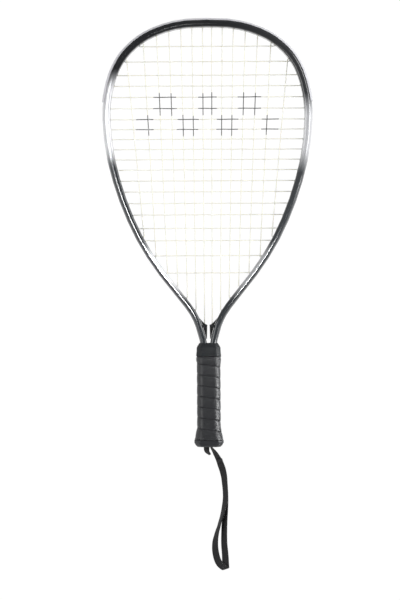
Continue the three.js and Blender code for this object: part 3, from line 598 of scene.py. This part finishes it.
def white_world():
    """White to the camera, and a pale light to everything else, dimmer from overhead."""
    world = bpy.data.worlds.new("studio_surround")
    bpy.context.scene.world = world
    tree = bare_tree(world)
    rays = add(tree, "ShaderNodeLightPath")
    seen = add(tree, "ShaderNodeMath", {
        0: (rays, "Is Camera Ray"), 1: (rays, "Is Transmission Ray"),
    }, operation="MAXIMUM")
    way = add(tree, "ShaderNodeTexCoord")
    axes = add(tree, "ShaderNodeSeparateXYZ", {"Vector": (way, "Generated")})
    room = add(tree, "ShaderNodeMapRange", {
        "Value": (axes, "Z"), "From Min": 0.15, "From Max": 0.95,
        "To Min": HORIZON, "To Max": ZENITH,
    })
    level = add(tree, "ShaderNodeMix", {
        0: (seen, "Value"), 2: (room, "Result"), 3: 1,
    }, data_type="FLOAT")
    light = add(tree, "ShaderNodeBackground", {"Color": (1, 1, 1, 1), "Strength": (level, 0)})
    add(tree, "ShaderNodeOutputWorld", {"Surface": (light, "Background")})


white_world()
print("surround level:", HORIZON, "to", ZENITH)

# %% [markdown]
# The table is matt white paper, lit until it is pure white, and so it glows here. A small share of
# plain paper is left in it, which keeps a little of the racket's shadow.

# %% Table
SHADOW_SHARE = 0.06
PAPER_GLOW = 1.04
TABLE_REACH = 30
TABLE_DROP = 0.02 * MM


def white_table():
    """A wide table, white to the camera but for a faint shadow."""
    mesh = bpy.data.meshes.new("studio_table")
    signs = ((-1, -1), (1, -1), (1, 1), (-1, 1))
    corners = [(x * TABLE_REACH, y * TABLE_REACH, 0) for x, y in signs]
    mesh.from_pydata(corners, [], [(0, 1, 2, 3)])
    table = bpy.data.objects.new("studio_table", mesh)
    table.location.z = -TABLE_DROP
    bpy.context.scene.collection.objects.link(table)
    material = bpy.data.materials.new("white_paper")
    tree = bare_tree(material)
    rays = add(tree, "ShaderNodeLightPath")
    camera_or_gloss = add(tree, "ShaderNodeMath", {
        0: (rays, "Is Camera Ray"), 1: (rays, "Is Glossy Ray"),
    }, operation="MAXIMUM")
    seen = add(tree, "ShaderNodeMath", {
        0: (camera_or_gloss, "Value"), 1: (rays, "Is Transmission Ray"),
    }, operation="MAXIMUM")
    share = add(tree, "ShaderNodeMapRange", {"Value": (seen, "Value"), "To Max": 1 - SHADOW_SHARE})
    paper = add(tree, "ShaderNodeBsdfDiffuse", {"Color": (0.9, 0.9, 0.9, 1)})
    glow = add(tree, "ShaderNodeEmission", {"Color": (1, 1, 1, 1), "Strength": PAPER_GLOW})
    both = add(tree, "ShaderNodeMixShader", {
        "Fac": (share, "Result"), 1: (paper, "BSDF"), 2: (glow, "Emission"),
    })
    add(tree, "ShaderNodeOutputMaterial", {"Surface": (both, "Shader")})
    mesh.materials.append(material)


white_table()
print("shadow kept:", SHADOW_SHARE)

# %% [markdown]
# A wide soft lamp stands on the right with a weaker one on the left, and a small low one rakes the
# handle. A long narrow lamp overhead draws the thin white line down the lacquered tube, since a
# glossy curved wall mirrors it as a line. These last two give gloss alone: their even light would
# bleach the strings.

# %% Lamps


def add_lamp(name, place, target, size, watts, spread=180, turn=0, gloss_only=False):
    """A rectangular lamp that faces a target, its long side along Y or turned from it."""
    data = bpy.data.lights.new(name, "AREA")
    data.shape = "RECTANGLE"
    data.size, data.size_y = size
    data.energy = watts
    data.spread = math.radians(spread)
    lamp = bpy.data.objects.new(name, data)
    lamp.visible_diffuse = not gloss_only
    lamp.location = place
    away = Vector(place) - Vector(target)
    across = Vector((0, 1, 0)).cross(away).normalized()
    along = away.normalized().cross(across)
    facing = Matrix((across, along, away.normalized())).transposed()
    lamp.rotation_euler = (facing @ Matrix.Rotation(math.radians(turn), 3, "Z")).to_euler()
    bpy.context.scene.collection.objects.link(lamp)


add_lamp("soft_key", place=(1.75, 0.65, 1.05), target=(0, 0, 0), size=(1.1, 1.6), watts=39)
add_lamp("left_fill", place=(-1.5, -0.3, 1.4), target=(0, 0, 0), size=(1.2, 1.6), watts=22)
add_lamp(
    "grip_light", place=(0.85, -0.3, 0.17), target=(0, -0.26, 0.017), size=(0.3, 0.42),
    watts=0.55, spread=32, gloss_only=True,
)
add_lamp(
    "narrow_line", place=(-0.18, 0.114, 0.8), target=(-0.29, 0.16, 0), size=(0.1, 0.66),
    watts=1, spread=31, turn=60, gloss_only=True,
)
print("lamps:", ", ".join(sorted(lamp.name for lamp in bpy.data.lights)))

# %% [markdown]
# ## Softening the model's facets
#
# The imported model's round forms are made of flat facets. A real tube or a moulded cap is smooth,
# so light should run evenly across small angles and break only at true edges. Baking new shapes
# would part from the model, so a modifier does it: it joins the facets' shared corners, drops
# their stored normals and marks only the sharp edges as sharp. Weighted normals then keep wide
# flats flat.

# %% Smoothing
JOIN_DISTANCE = 0.002 * MM


def smoothing_graph():
    """A geometry graph that joins corners and smooths all but edges over an angle."""
    tree = bpy.data.node_groups.new("smooth_small_angles", "GeometryNodeTree")
    tree.interface.new_socket("Geometry", in_out="INPUT", socket_type="NodeSocketGeometry")
    angle = tree.interface.new_socket("Angle", in_out="INPUT", socket_type="NodeSocketFloat")
    tree.interface.new_socket("Geometry", in_out="OUTPUT", socket_type="NodeSocketGeometry")
    given = add(tree, "NodeGroupInput")
    joined = add(tree, "GeometryNodeMergeByDistance", {
        "Geometry": (given, "Geometry"), "Distance": JOIN_DISTANCE,
    })
    bare = add(tree, "GeometryNodeRemoveAttribute", {
        "Geometry": (joined, "Geometry"), "Name": "custom_normal",
    })
    faces = add(tree, "GeometryNodeSetShadeSmooth", {"Geometry": (bare, "Geometry")}, domain="FACE")
    bend = add(tree, "GeometryNodeInputMeshEdgeAngle")
    small = add(tree, "FunctionNodeCompare", {
        0: (bend, "Unsigned Angle"), 1: (given, "Angle"),
    }, data_type="FLOAT", operation="LESS_THAN")
    edges = add(tree, "GeometryNodeSetShadeSmooth", {
        "Geometry": (faces, "Geometry"), "Shade Smooth": (small, "Result"),
    }, domain="EDGE")
    add(tree, "NodeGroupOutput", {"Geometry": (edges, "Geometry")})
    return tree, angle.identifier


def smooth(node, degrees):
    """Smooths a node of the model across edges that bend less than an angle."""
    modifier = node.modifiers.new("smooth", "NODES")
    modifier.node_group = SMOOTH_GRAPH
    modifier[SMOOTH_ANGLE] = math.radians(degrees)
    weighted = node.modifiers.new("weighted_normals", "WEIGHTED_NORMAL")
    weighted.keep_sharp = True


def dress(names, material, degrees):
    """Gives nodes of the model a finish and smooths them."""
    for name in names:
        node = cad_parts[name]
        node.material_slots[0].material = material
        smooth(node, degrees)
    print(material.name, "on", ", ".join(names))


SMOOTH_GRAPH, SMOOTH_ANGLE = smoothing_graph()
print("smoothing steps:", len(SMOOTH_GRAPH.nodes))

# %% [markdown]
# ## The lacquered tube
#
# The tube is a composite of fibre and resin, sprayed black, with a silver fade on both sides of the
# head, then covered with clear lacquer. A full metal look would be wrong: it is paint under
# varnish, so the base is mostly plain colour and the gloss comes from a clear coat. The fades are
# bands along the racket. A lower band inside the bend is a painted reflection, not silver paint: it
# lies only on the half of the wall that faces the strings, which the surface's own direction tells,
# and is weaker on the right. The black is also painted lighter towards the right, as painted light
# from the key lamp on that side.

# %% Silver fades
FADES = {
    "upper_left": ((82, 114), (182, 214)),
    "upper_right": ((72, 112), (145, 185)),
    # The lower band is a painted reflection, not silver paint.
    "lower": ((-92, -62), (-35, -8)),
}
RIGHT_PAINTED_REFLECTION_SHARE = 0.65
RIGHT_LIGHT_REACH = 100 * MM
RIGHT_LIGHT_SHARE = 0.035


def band(tree, height, limits):
    """A soft band along Y, up from 0 to 1 and down again, between heights in mm."""
    (low, full), (still, high) = limits
    rise = add(tree, "ShaderNodeMapRange", {
        "Value": height, "From Min": low * MM, "From Max": full * MM,
    }, interpolation_type="SMOOTHSTEP")
    fall = add(tree, "ShaderNodeMapRange", {
        "Value": height, "From Min": high * MM, "From Max": still * MM,
    }, interpolation_type="SMOOTHSTEP")
    return add(tree, "ShaderNodeMath", {
        0: (rise, "Result"), 1: (fall, "Result"),
    }, operation="MULTIPLY")


def silver_share(tree, place):
    """How much silver lies over the black: the fades, a painted reflection low in the bend and
    painted light on the right.
    """
    axes = add(tree, "ShaderNodeSeparateXYZ", {"Vector": (place, "Object")})
    side = add(tree, "ShaderNodeMath", {0: (axes, "X")}, operation="SIGN")
    right = add(tree, "ShaderNodeMapRange", {"Value": (side, "Value"), "From Min": -1})
    height = (axes, "Y")
    left_band = band(tree, height, FADES["upper_left"])
    right_band = band(tree, height, FADES["upper_right"])
    upper = add(tree, "ShaderNodeMix", {
        0: (right, "Result"), 2: (left_band, "Value"), 3: (right_band, "Value"),
    }, data_type="FLOAT")
    # Painted reflection: the lower band lightens only the wall's strings-facing half, and less on
    # the right.
    surface = add(tree, "ShaderNodeNewGeometry")
    facing = add(tree, "ShaderNodeSeparateXYZ", {"Vector": (surface, "Normal")})
    outward = add(tree, "ShaderNodeMath", {
        0: (facing, "X"), 1: (side, "Value"),
    }, operation="MULTIPLY")
    inner = add(tree, "ShaderNodeMapRange", {
        "Value": (outward, "Value"), "From Min": 0.28, "From Max": -0.06,
    }, interpolation_type="SMOOTHSTEP")
    strength = add(tree, "ShaderNodeMapRange", {
        "Value": (right, "Result"), "To Min": 1, "To Max": RIGHT_PAINTED_REFLECTION_SHARE,
    })
    lower_band = band(tree, height, FADES["lower"])
    lower_inner = add(tree, "ShaderNodeMath", {
        0: (lower_band, "Value"), 1: (inner, "Result"),
    }, operation="MULTIPLY")
    lower = add(tree, "ShaderNodeMath", {
        0: (lower_inner, "Value"), 1: (strength, "Result"),
    }, operation="MULTIPLY")
    # Painted light: the black is lightened with silver towards the right half, where the key lamp
    # stands.
    right_light = add(tree, "ShaderNodeMapRange", {
        "Value": (axes, "X"), "From Max": RIGHT_LIGHT_REACH, "To Max": RIGHT_LIGHT_SHARE,
    })
    fades = add(tree, "ShaderNodeMath", {0: (upper, 0), 1: (lower, "Value")}, operation="MAXIMUM")
    return add(tree, "ShaderNodeMath", {
        0: (fades, "Value"), 1: (right_light, "Result"),
    }, operation="MAXIMUM")


print("silver fades, mm along the racket:", FADES)

# %% [markdown]
# Silver paint is full of flakes, and so a little metallic and uneven. The flakes are under a tenth
# of a millimetre; they are drawn at 1.2 mm, so that the fade looks grainy. The black is painted
# greyer low on the sides than at the head's top: painted shade on the top, which faces the dim room
# overhead, and painted light on the sides. The clear coat over it all mirrors the lamps sharply.

# %% Lacquered composite
FLAKE_MM = 1.2
METALLIC_SHARE = 0.28
SHADED_TOP_AT = 205 * MM
LIT_SIDES_AT = 90 * MM


def lacquered_composite():
    """Black paint with silver fades under a clear coat, and painted light and shade in its colour.
    """
    material, tree, shader, place = new_material("lacquered_composite")
    silver = silver_share(tree, place)
    flakes = add(tree, "ShaderNodeTexNoise", {
        "Vector": (place, "Object"), "Scale": per_metre(FLAKE_MM), "Detail": 5, "Roughness": 0.7,
    })
    sparkle = add(tree, "ShaderNodeMapRange", {
        "Value": (flakes, "Fac"), "From Min": 0.35, "From Max": 0.65,
        "To Min": 0.94, "To Max": 1.04,
    })
    speckled = add(tree, "ShaderNodeMath", {
        0: (silver, "Value"), 1: (sparkle, "Result"),
    }, operation="MULTIPLY", use_clamp=True)
    axes = add(tree, "ShaderNodeSeparateXYZ", {"Vector": (place, "Object")})
    # Painted shade: the black is darkest at the head's top, which faces the dim room overhead, and
    # painted lighter down the sides.
    sides = add(tree, "ShaderNodeMapRange", {
        "Value": (axes, "Y"), "From Min": SHADED_TOP_AT, "From Max": LIT_SIDES_AT,
    }, interpolation_type="SMOOTHSTEP")
    shaded_black = add(tree, "ShaderNodeMix", {
        0: (sides, "Result"), 6: linear("191b1e"), 7: linear("2d3135"),
    }, data_type="RGBA")
    colour = add(tree, "ShaderNodeMix", {
        0: (speckled, "Value"), 6: (shaded_black, 2), 7: linear("cfd0d3"),
    }, data_type="RGBA")
    metal = add(tree, "ShaderNodeMath", {
        0: (speckled, "Value"), 1: METALLIC_SHARE,
    }, operation="MULTIPLY")
    feed(tree, shader, {
        "Base Color": (colour, 2), "Metallic": (metal, "Value"), "Specular IOR Level": 0.03,
        "Roughness": 0.35, "Coat Weight": 1, "Coat Roughness": 0.09,
    })
    return material


dress(["frame_tube"], lacquered_composite(), degrees=55)

# %% [markdown]
# ## The guard and the grommet strips
#
# Both are moulded nylon: the guard in light grey, the strips and the throat's cheeks in black.
# Moulded nylon is satin, never mirror-like, so it shows the lamps as soft patches. A guard that
# meets walls picks up fine scuffs too. A wide noise clouds the colour, and a fine one makes gloss
# and surface uneven. A mould's grain is a few tenths of a millimetre; it is drawn several times
# as coarse, to show.

# %% Moulded nylon
CLOUD_MM = 18


def moulded_nylon(name, colour, second, roughness, grain_mm):
    """Satin nylon: two tones in wide clouds, and a grain in gloss and surface."""
    material, tree, shader, place = new_material(name)
    cloud = add(tree, "ShaderNodeTexNoise", {
        "Vector": (place, "Object"), "Scale": per_metre(CLOUD_MM), "Detail": 3,
    })
    grain = add(tree, "ShaderNodeTexNoise", {
        "Vector": (place, "Object"), "Scale": per_metre(grain_mm), "Detail": 4, "Roughness": 0.6,
    })
    mixed = add(tree, "ShaderNodeMix", {
        0: (cloud, "Fac"), 6: linear(colour), 7: linear(second),
    }, data_type="RGBA")
    rough = add(tree, "ShaderNodeMapRange", {
        "Value": (grain, "Fac"), "To Min": roughness * 0.8, "To Max": roughness * 1.2,
    })
    bump = add(tree, "ShaderNodeBump", {
        "Height": (grain, "Fac"), "Strength": 0.1, "Distance": 0.05 * MM,
    })
    feed(tree, shader, {
        "Base Color": (mixed, 2), "Roughness": (rough, "Result"), "Normal": (bump, "Normal"),
        "Specular IOR Level": 0.35,
    })
    return material


guard_nylon = moulded_nylon(
    "grey_guard_nylon", colour="d2d2d6", second="c2c2c8", roughness=0.42, grain_mm=0.8,
)
strip_nylon = moulded_nylon(
    "black_strip_nylon", colour="1d1d20", second="26262a", roughness=0.5, grain_mm=0.6,
)
cheek_nylon = moulded_nylon(
    "black_cheek_nylon", colour="0f1214", second="161a1d", roughness=0.62, grain_mm=1.6,
)
STRIPS = ["head_grommet_strip", "left_grommet_strip", "right_grommet_strip"]
dress(["bumper_guard"], guard_nylon, degrees=40)
dress(STRIPS, strip_nylon, degrees=50)
dress(["left_throat_cheek", "right_throat_cheek"], cheek_nylon, degrees=30)

# %% [markdown]
# ## The strings
#
# Racket string is many nylon filaments under a smooth wrap, pale and slightly see-through, so it
# glows softly. A block pattern is inked on the bed through a stencil, and string in an inked block
# is dark grey. An image could carry it, but a shader can work out a plain chequer from the place
# alone. Its uneven edge comes from the brush.

# %% The stencil's ink
INK_COLUMN_EDGES = (12.2, 39.5, 70.3, 93)
INK_ROW_EDGES = (126, 152.5, 182)
EDGE_WOBBLE = 3 * MM
WOBBLE_MM = 9


def ink_mask(tree, place):
    """1 on the string inside the inked blocks."""
    wobble = add(tree, "ShaderNodeTexNoise", {
        "Vector": (place, "Object"), "Scale": per_metre(WOBBLE_MM),
    })
    shift = add(tree, "ShaderNodeMapRange", {
        "Value": (wobble, "Fac"), "To Min": -EDGE_WOBBLE, "To Max": EDGE_WOBBLE,
    })
    axes = add(tree, "ShaderNodeSeparateXYZ", {"Vector": (place, "Object")})
    away = add(tree, "ShaderNodeMath", {0: (axes, "X")}, operation="ABSOLUTE")
    x = add(tree, "ShaderNodeMath", {0: (away, "Value"), 1: (shift, "Result")})
    y = add(tree, "ShaderNodeMath", {0: (axes, "Y"), 1: (shift, "Result")})
    limits = [((x, "Value"), edge) for edge in INK_COLUMN_EDGES]
    limits += [((y, "Value"), edge) for edge in INK_ROW_EDGES]
    passed = [
        add(tree, "ShaderNodeMath", {0: value, 1: edge * MM}, operation="GREATER_THAN")
        for value, edge in limits
    ]
    count, second, third, past_last, over_foot, over_middle, over_top = passed
    for step in (second, third, over_middle):
        count = add(tree, "ShaderNodeMath", {0: (count, "Value"), 1: (step, "Value")})
    odd = add(tree, "ShaderNodeMath", {0: (count, "Value"), 1: 2}, operation="MODULO")
    mask = add(tree, "ShaderNodeMath", {
        0: (odd, "Value"), 1: (over_foot, "Value"),
    }, operation="MULTIPLY")
    for outside in (past_last, over_top):
        inside = add(tree, "ShaderNodeMath", {0: 1, 1: (outside, "Value")}, operation="SUBTRACT")
        mask = add(tree, "ShaderNodeMath", {
            0: (mask, "Value"), 1: (inside, "Value"),
        }, operation="MULTIPLY")
    return mask


print("inked blocks, mm across:", INK_COLUMN_EDGES, "and along:", INK_ROW_EDGES)

# %% [markdown]
# The string's wrap leaves slanted ridges, less than half a millimetre apart. They are drawn about
# 2 mm apart, to show at all.

# %% Nylon string
WRAP_MM = 1.8
WEAR_MM = 3


def nylon_string():
    """Pale string with a ridged wrap, inked dark where the stencil let ink through."""
    material, tree, shader, place = new_material("nylon_string")
    wrap = add(tree, "ShaderNodeTexWave", {
        "Vector": (place, "Object"), "Scale": per_metre(WRAP_MM) * WAVE_PER_UNIT,
        "Distortion": 0.4,
    }, bands_direction="DIAGONAL")
    pale = add(tree, "ShaderNodeMix", {
        0: (wrap, "Fac"), 6: linear("f8f7ec"), 7: linear("efeedd"),
    }, data_type="RGBA")
    mask = ink_mask(tree, place)
    wear = add(tree, "ShaderNodeTexNoise", {
        "Vector": (place, "Object"), "Scale": per_metre(WEAR_MM), "Detail": 3,
    })
    ink_share = add(tree, "ShaderNodeMapRange", {
        "Value": (wear, "Fac"), "From Min": 0.25, "From Max": 0.5, "To Min": 0.75, "To Max": 0.97,
    })
    inked = add(tree, "ShaderNodeMath", {
        0: (mask, "Value"), 1: (ink_share, "Result"),
    }, operation="MULTIPLY")
    colour = add(tree, "ShaderNodeMix", {
        0: (inked, "Value"), 6: (pale, 2), 7: linear("1e1e20"),
    }, data_type="RGBA")
    bump = add(tree, "ShaderNodeBump", {
        "Height": (wrap, "Fac"), "Strength": 0.3, "Distance": 0.1 * MM,
    })
    feed(tree, shader, {
        "Base Color": (colour, 2), "Normal": (bump, "Normal"), "Roughness": 0.35,
        "Subsurface Weight": 0.2, "Subsurface Radius": (1, 0.9, 0.7),
        "Subsurface Scale": 0.5 * MM,
    })
    return material


dress(["main_string", "cross_string"], nylon_string(), degrees=100)

# %% [markdown]
# ## The handle's hidden foam and the rubber ends
#
# The pallets and the core are moulded polyurethane foam, matt and full of cells. They show only
# when the handle is open. Its cells are under half a millimetre and are drawn at 0.8 mm. The collar
# and the butt cap are soft rubber. Rubber from a mould is dark and dull, with a faint cloudiness;
# the cap, polished by the hand, is glossier than the collar. The grain is drawn at 0.9 mm, several
# times too coarse, to show.

# %% Foam and rubber
CELL_MM = 0.8
BLOOM_MM = 7
RUBBER_GRAIN_MM = 0.9


def moulded_foam():
    """Matt brown-grey foam, pitted by its cells, with painted shade darkening the pits."""
    material, tree, shader, place = new_material("polyurethane_foam")
    cells = add(tree, "ShaderNodeTexVoronoi", {
        "Vector": (place, "Object"), "Scale": per_metre(CELL_MM),
    })
    # Painted shade: the colour darkens towards each cell's middle, where its pit is deepest.
    mixed = add(tree, "ShaderNodeMix", {
        0: (cells, "Distance"), 6: linear("4c463f"), 7: linear("665e54"),
    }, data_type="RGBA")
    bump = add(tree, "ShaderNodeBump", {
        "Height": (cells, "Distance"), "Strength": 0.4, "Distance": 0.2 * MM,
    })
    feed(tree, shader, {
        "Base Color": (mixed, 2), "Normal": (bump, "Normal"), "Roughness": 0.9,
    })
    return material


def moulded_rubber(name, colour, second, roughness):
    """Dull rubber: two tones in small clouds, over a fine grain."""
    material, tree, shader, place = new_material(name)
    cloud = add(tree, "ShaderNodeTexNoise", {
        "Vector": (place, "Object"), "Scale": per_metre(BLOOM_MM), "Detail": 4,
    })
    grain = add(tree, "ShaderNodeTexNoise", {
        "Vector": (place, "Object"), "Scale": per_metre(RUBBER_GRAIN_MM), "Detail": 3,
    })
    mixed = add(tree, "ShaderNodeMix", {
        0: (cloud, "Fac"), 6: linear(colour), 7: linear(second),
    }, data_type="RGBA")
    bump = add(tree, "ShaderNodeBump", {
        "Height": (grain, "Fac"), "Strength": 0.15, "Distance": 0.1 * MM,
    })
    feed(tree, shader, {
        "Base Color": (mixed, 2), "Normal": (bump, "Normal"), "Roughness": roughness,
        "Specular IOR Level": 0.3,
    })
    return material


FOAM_PIECES = ["front_handle_pallet", "back_handle_pallet", "handle_core"]
collar_rubber = moulded_rubber("collar_rubber", colour="15181b", second="1e2225", roughness=0.56)
cap_rubber = moulded_rubber("cap_rubber", colour="2a2b2e", second="35363a", roughness=0.42)
dress(FOAM_PIECES, moulded_foam(), degrees=30)
dress(["grip_collar"], collar_rubber, degrees=40)
dress(["butt_cap"], cap_rubber, degrees=45)

# %% [markdown]
# ## The grip tape
#
# The tape is a strip of soft synthetic leather wound round the eight-sided handle, each turn laid
# edge to edge with the last. It is skived thin at its edges, more at the upper one, so each turn
# is a low swell that starts gently below a dark seam. The strip is swept round the handle's
# outline, a little thicker where it starts at the collar, and it follows the butt cap's flare at
# the end. A displaced tube would blur the seams, and stacked rings would miss their slope.
#
# Synthetic leather is soft plastic pressed with a hide's grain, so its shine is broken and satin.
# Real grain is about half a millimetre; it is drawn at 0.9 mm so that some of it shows.

# %% Synthetic leather
LEATHER_GRAIN_MM = 0.9
CREASE_MM = 6


def synthetic_leather():
    """Black plastic leather with a pressed grain and soft creases."""
    material, tree, shader, place = new_material("synthetic_leather")
    cells = add(tree, "ShaderNodeTexVoronoi", {
        "Vector": (place, "Object"), "Scale": per_metre(LEATHER_GRAIN_MM),
    }, feature="DISTANCE_TO_EDGE")
    creases = add(tree, "ShaderNodeTexNoise", {
        "Vector": (place, "Object"), "Scale": per_metre(CREASE_MM),
        "Detail": 5, "Distortion": 0.8,
    })
    grain = add(tree, "ShaderNodeMath", {
        0: (cells, "Distance"), 1: (creases, "Fac"),
    }, operation="MULTIPLY")
    mixed = add(tree, "ShaderNodeMix", {
        0: (creases, "Fac"), 6: linear("1e1f22"), 7: linear("2b2c2f"),
    }, data_type="RGBA")
    rough = add(tree, "ShaderNodeMapRange", {
        "Value": (creases, "Fac"), "From Min": 0.3, "From Max": 0.7, "To Min": 0.42, "To Max": 0.56,
    })
    bump = add(tree, "ShaderNodeBump", {
        "Height": (grain, "Value"), "Strength": 0.12, "Distance": 0.12 * MM,
    })
    feed(tree, shader, {
        "Base Color": (mixed, 2), "Roughness": (rough, "Result"), "Normal": (bump, "Normal"),
    })
    return material


LEATHER = synthetic_leather()
print("leather grain every", LEATHER_GRAIN_MM, "mm")

# %% [markdown]
# The winding is worked out turn by turn. One turn follows the handle's outline by distance, so the
# tape's speed is even over flats and bevels alike. The outline is an octagon with wide faces, its
# bevels and corners given as shares of its half width.

# %% Handle outline
DEPTH_SHARE = 0.893
BEVEL_SHARES = (0.356, 0.475)
CORNER_SHARE = 0.255


def handle_outline(half_width):
    """The eight-sided handle's outline, its corners rounded, as points in across and height."""
    half_depth = half_width * DEPTH_SHARE
    softness = CORNER_SHARE * half_width
    corners = []
    for x, z in ((-1, 1), (1, 1), (1, -1), (-1, -1)):
        side = Vector((x * half_width, z * half_depth * (1 - BEVEL_SHARES[1])))
        face = Vector((x * half_width * (1 - BEVEL_SHARES[0]), z * half_depth))
        corners += [side, face] if x * z < 0 else [face, side]
    points = []
    for index, corner in enumerate(corners):
        before = (corners[index - 1] - corner).normalized() * softness
        after = (corners[(index + 1) % len(corners)] - corner).normalized() * softness
        for share in (0, 0.25, 0.5, 0.75, 1):
            toward = before * (1 - share) ** 2 + after * share ** 2
            points.append(corner + toward)
    return points


def on_outline(half_width, turn):
    """The place on the handle's outline after a share of a turn from the front's middle."""
    points = handle_outline(half_width)
    half_depth = half_width * DEPTH_SHARE
    start = Vector((0, half_depth))
    first = next(index for index, point in enumerate(points) if point.x > 0)
    loop = [start, *points[first:], *points[:first], start]
    reached = distances(loop)
    return Vector(at_distance(loop, reached, turn % 1 * reached[-1]))


PALLET_HALF_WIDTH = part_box("front_handle_pallet")[1].x
print("handle's half width:", round(PALLET_HALF_WIDTH / MM, 2), "mm")

# %% [markdown]
# The strip's section is a list of shares: how far across its width, and how much of its thickness
# it has there. A slow noise makes the thickness wander, since a hand winds tape unevenly. At both
# ends the strip is cut level, where the collar and the cap's rim meet it.

# %% Grip tape
TAPE_THICKNESS = 1.6 * MM
TAPE_PITCH = 14 * MM
TAPE_GAP = 0.12 * MM
FIRST_SEAM = -0.1731
STEPS_PER_TURN = 72
TAPE_SWELL = [
    (0, 0.5), (0.015, 0.62), (0.05, 0.73), (0.12, 0.83), (0.22, 0.91), (0.34, 0.97), (0.48, 1),
    (0.64, 1), (0.8, 0.97), (0.91, 0.9), (0.97, 0.78), (1, 0.6),
]
START_EXTRA = 0.8 * MM
START_LENGTH = 4.5 * MM
START_FADE = 6 * MM
FLARE_TOP = -0.2540
FLARE_FOOT = -0.2712
FLARE_GROWTH = 3.4 * MM
WANDER = 0.12 * MM
WANDER_PER_TURN = 3
WANDER_PER_METRE = 90
UNDERSIDE_RISE = 0.05
COLLAR_GAP = 0.3 * MM
SEAT_GAP = 0.3 * MM
LEAST_WIDTH = 0.4 * MM

TAPE_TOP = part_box("grip_collar")[0].y - COLLAR_GAP
TAPE_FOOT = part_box("grip_tape")[0].y


def tape_seat(height):
    """The half width that the tape lies on: the pallets, then the cap's flare."""
    share = min(max((FLARE_TOP - height) / (FLARE_TOP - FLARE_FOOT), 0), 1)
    return PALLET_HALF_WIDTH + SEAT_GAP + share * FLARE_GROWTH


def tape_ring(turns):
    """The tape's section after a number of turns from the first seam."""
    high = FIRST_SEAM - TAPE_GAP / 2 - turns * TAPE_PITCH
    foot = high - TAPE_PITCH + TAPE_GAP
    top = min(high, TAPE_TOP)
    low = max(foot, TAPE_FOOT)
    levels = [(top + (low - top) * share, rise) for share, rise in TAPE_SWELL]
    levels += [(low, UNDERSIDE_RISE), (top, UNDERSIDE_RISE)]
    ring = []
    for height, rise in levels:
        spot = Vector((turns * WANDER_PER_TURN, height * WANDER_PER_METRE, 0))
        wander = noise.noise(spot) * WANDER
        start = min(max((height - TAPE_TOP + START_LENGTH + START_FADE) / START_FADE, 0), 1)
        half = tape_seat(height) + rise * (TAPE_THICKNESS + start * START_EXTRA + wander)
        across, up = on_outline(half, turns)
        ring.append(Vector((across, height, BED_HEIGHT + up)))
    return ring if top - low > LEAST_WIDTH else None


def wind_tape():
    """The whole winding, from under the collar to the cap's rim."""
    first = (FIRST_SEAM - TAPE_TOP - TAPE_PITCH) / TAPE_PITCH
    last = (FIRST_SEAM - TAPE_FOOT) / TAPE_PITCH
    count = round((last - first) * STEPS_PER_TURN)
    rings = [tape_ring(first + (last - first) * step / count) for step in range(count + 1)]
    return skin("grip_tape_winding", [ring for ring in rings if ring], LEATHER)


tape = wind_tape()
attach(tape, "racket")
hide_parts("grip_tape")
print("tape faces:", len(tape.data.polygons))

# %% [markdown]
# ## Finishing
#
# The colour view is set to Standard and the scene is brought up to date.

# %% Finish
bpy.context.scene.view_settings.view_transform = "Standard"
bpy.context.view_layer.update()
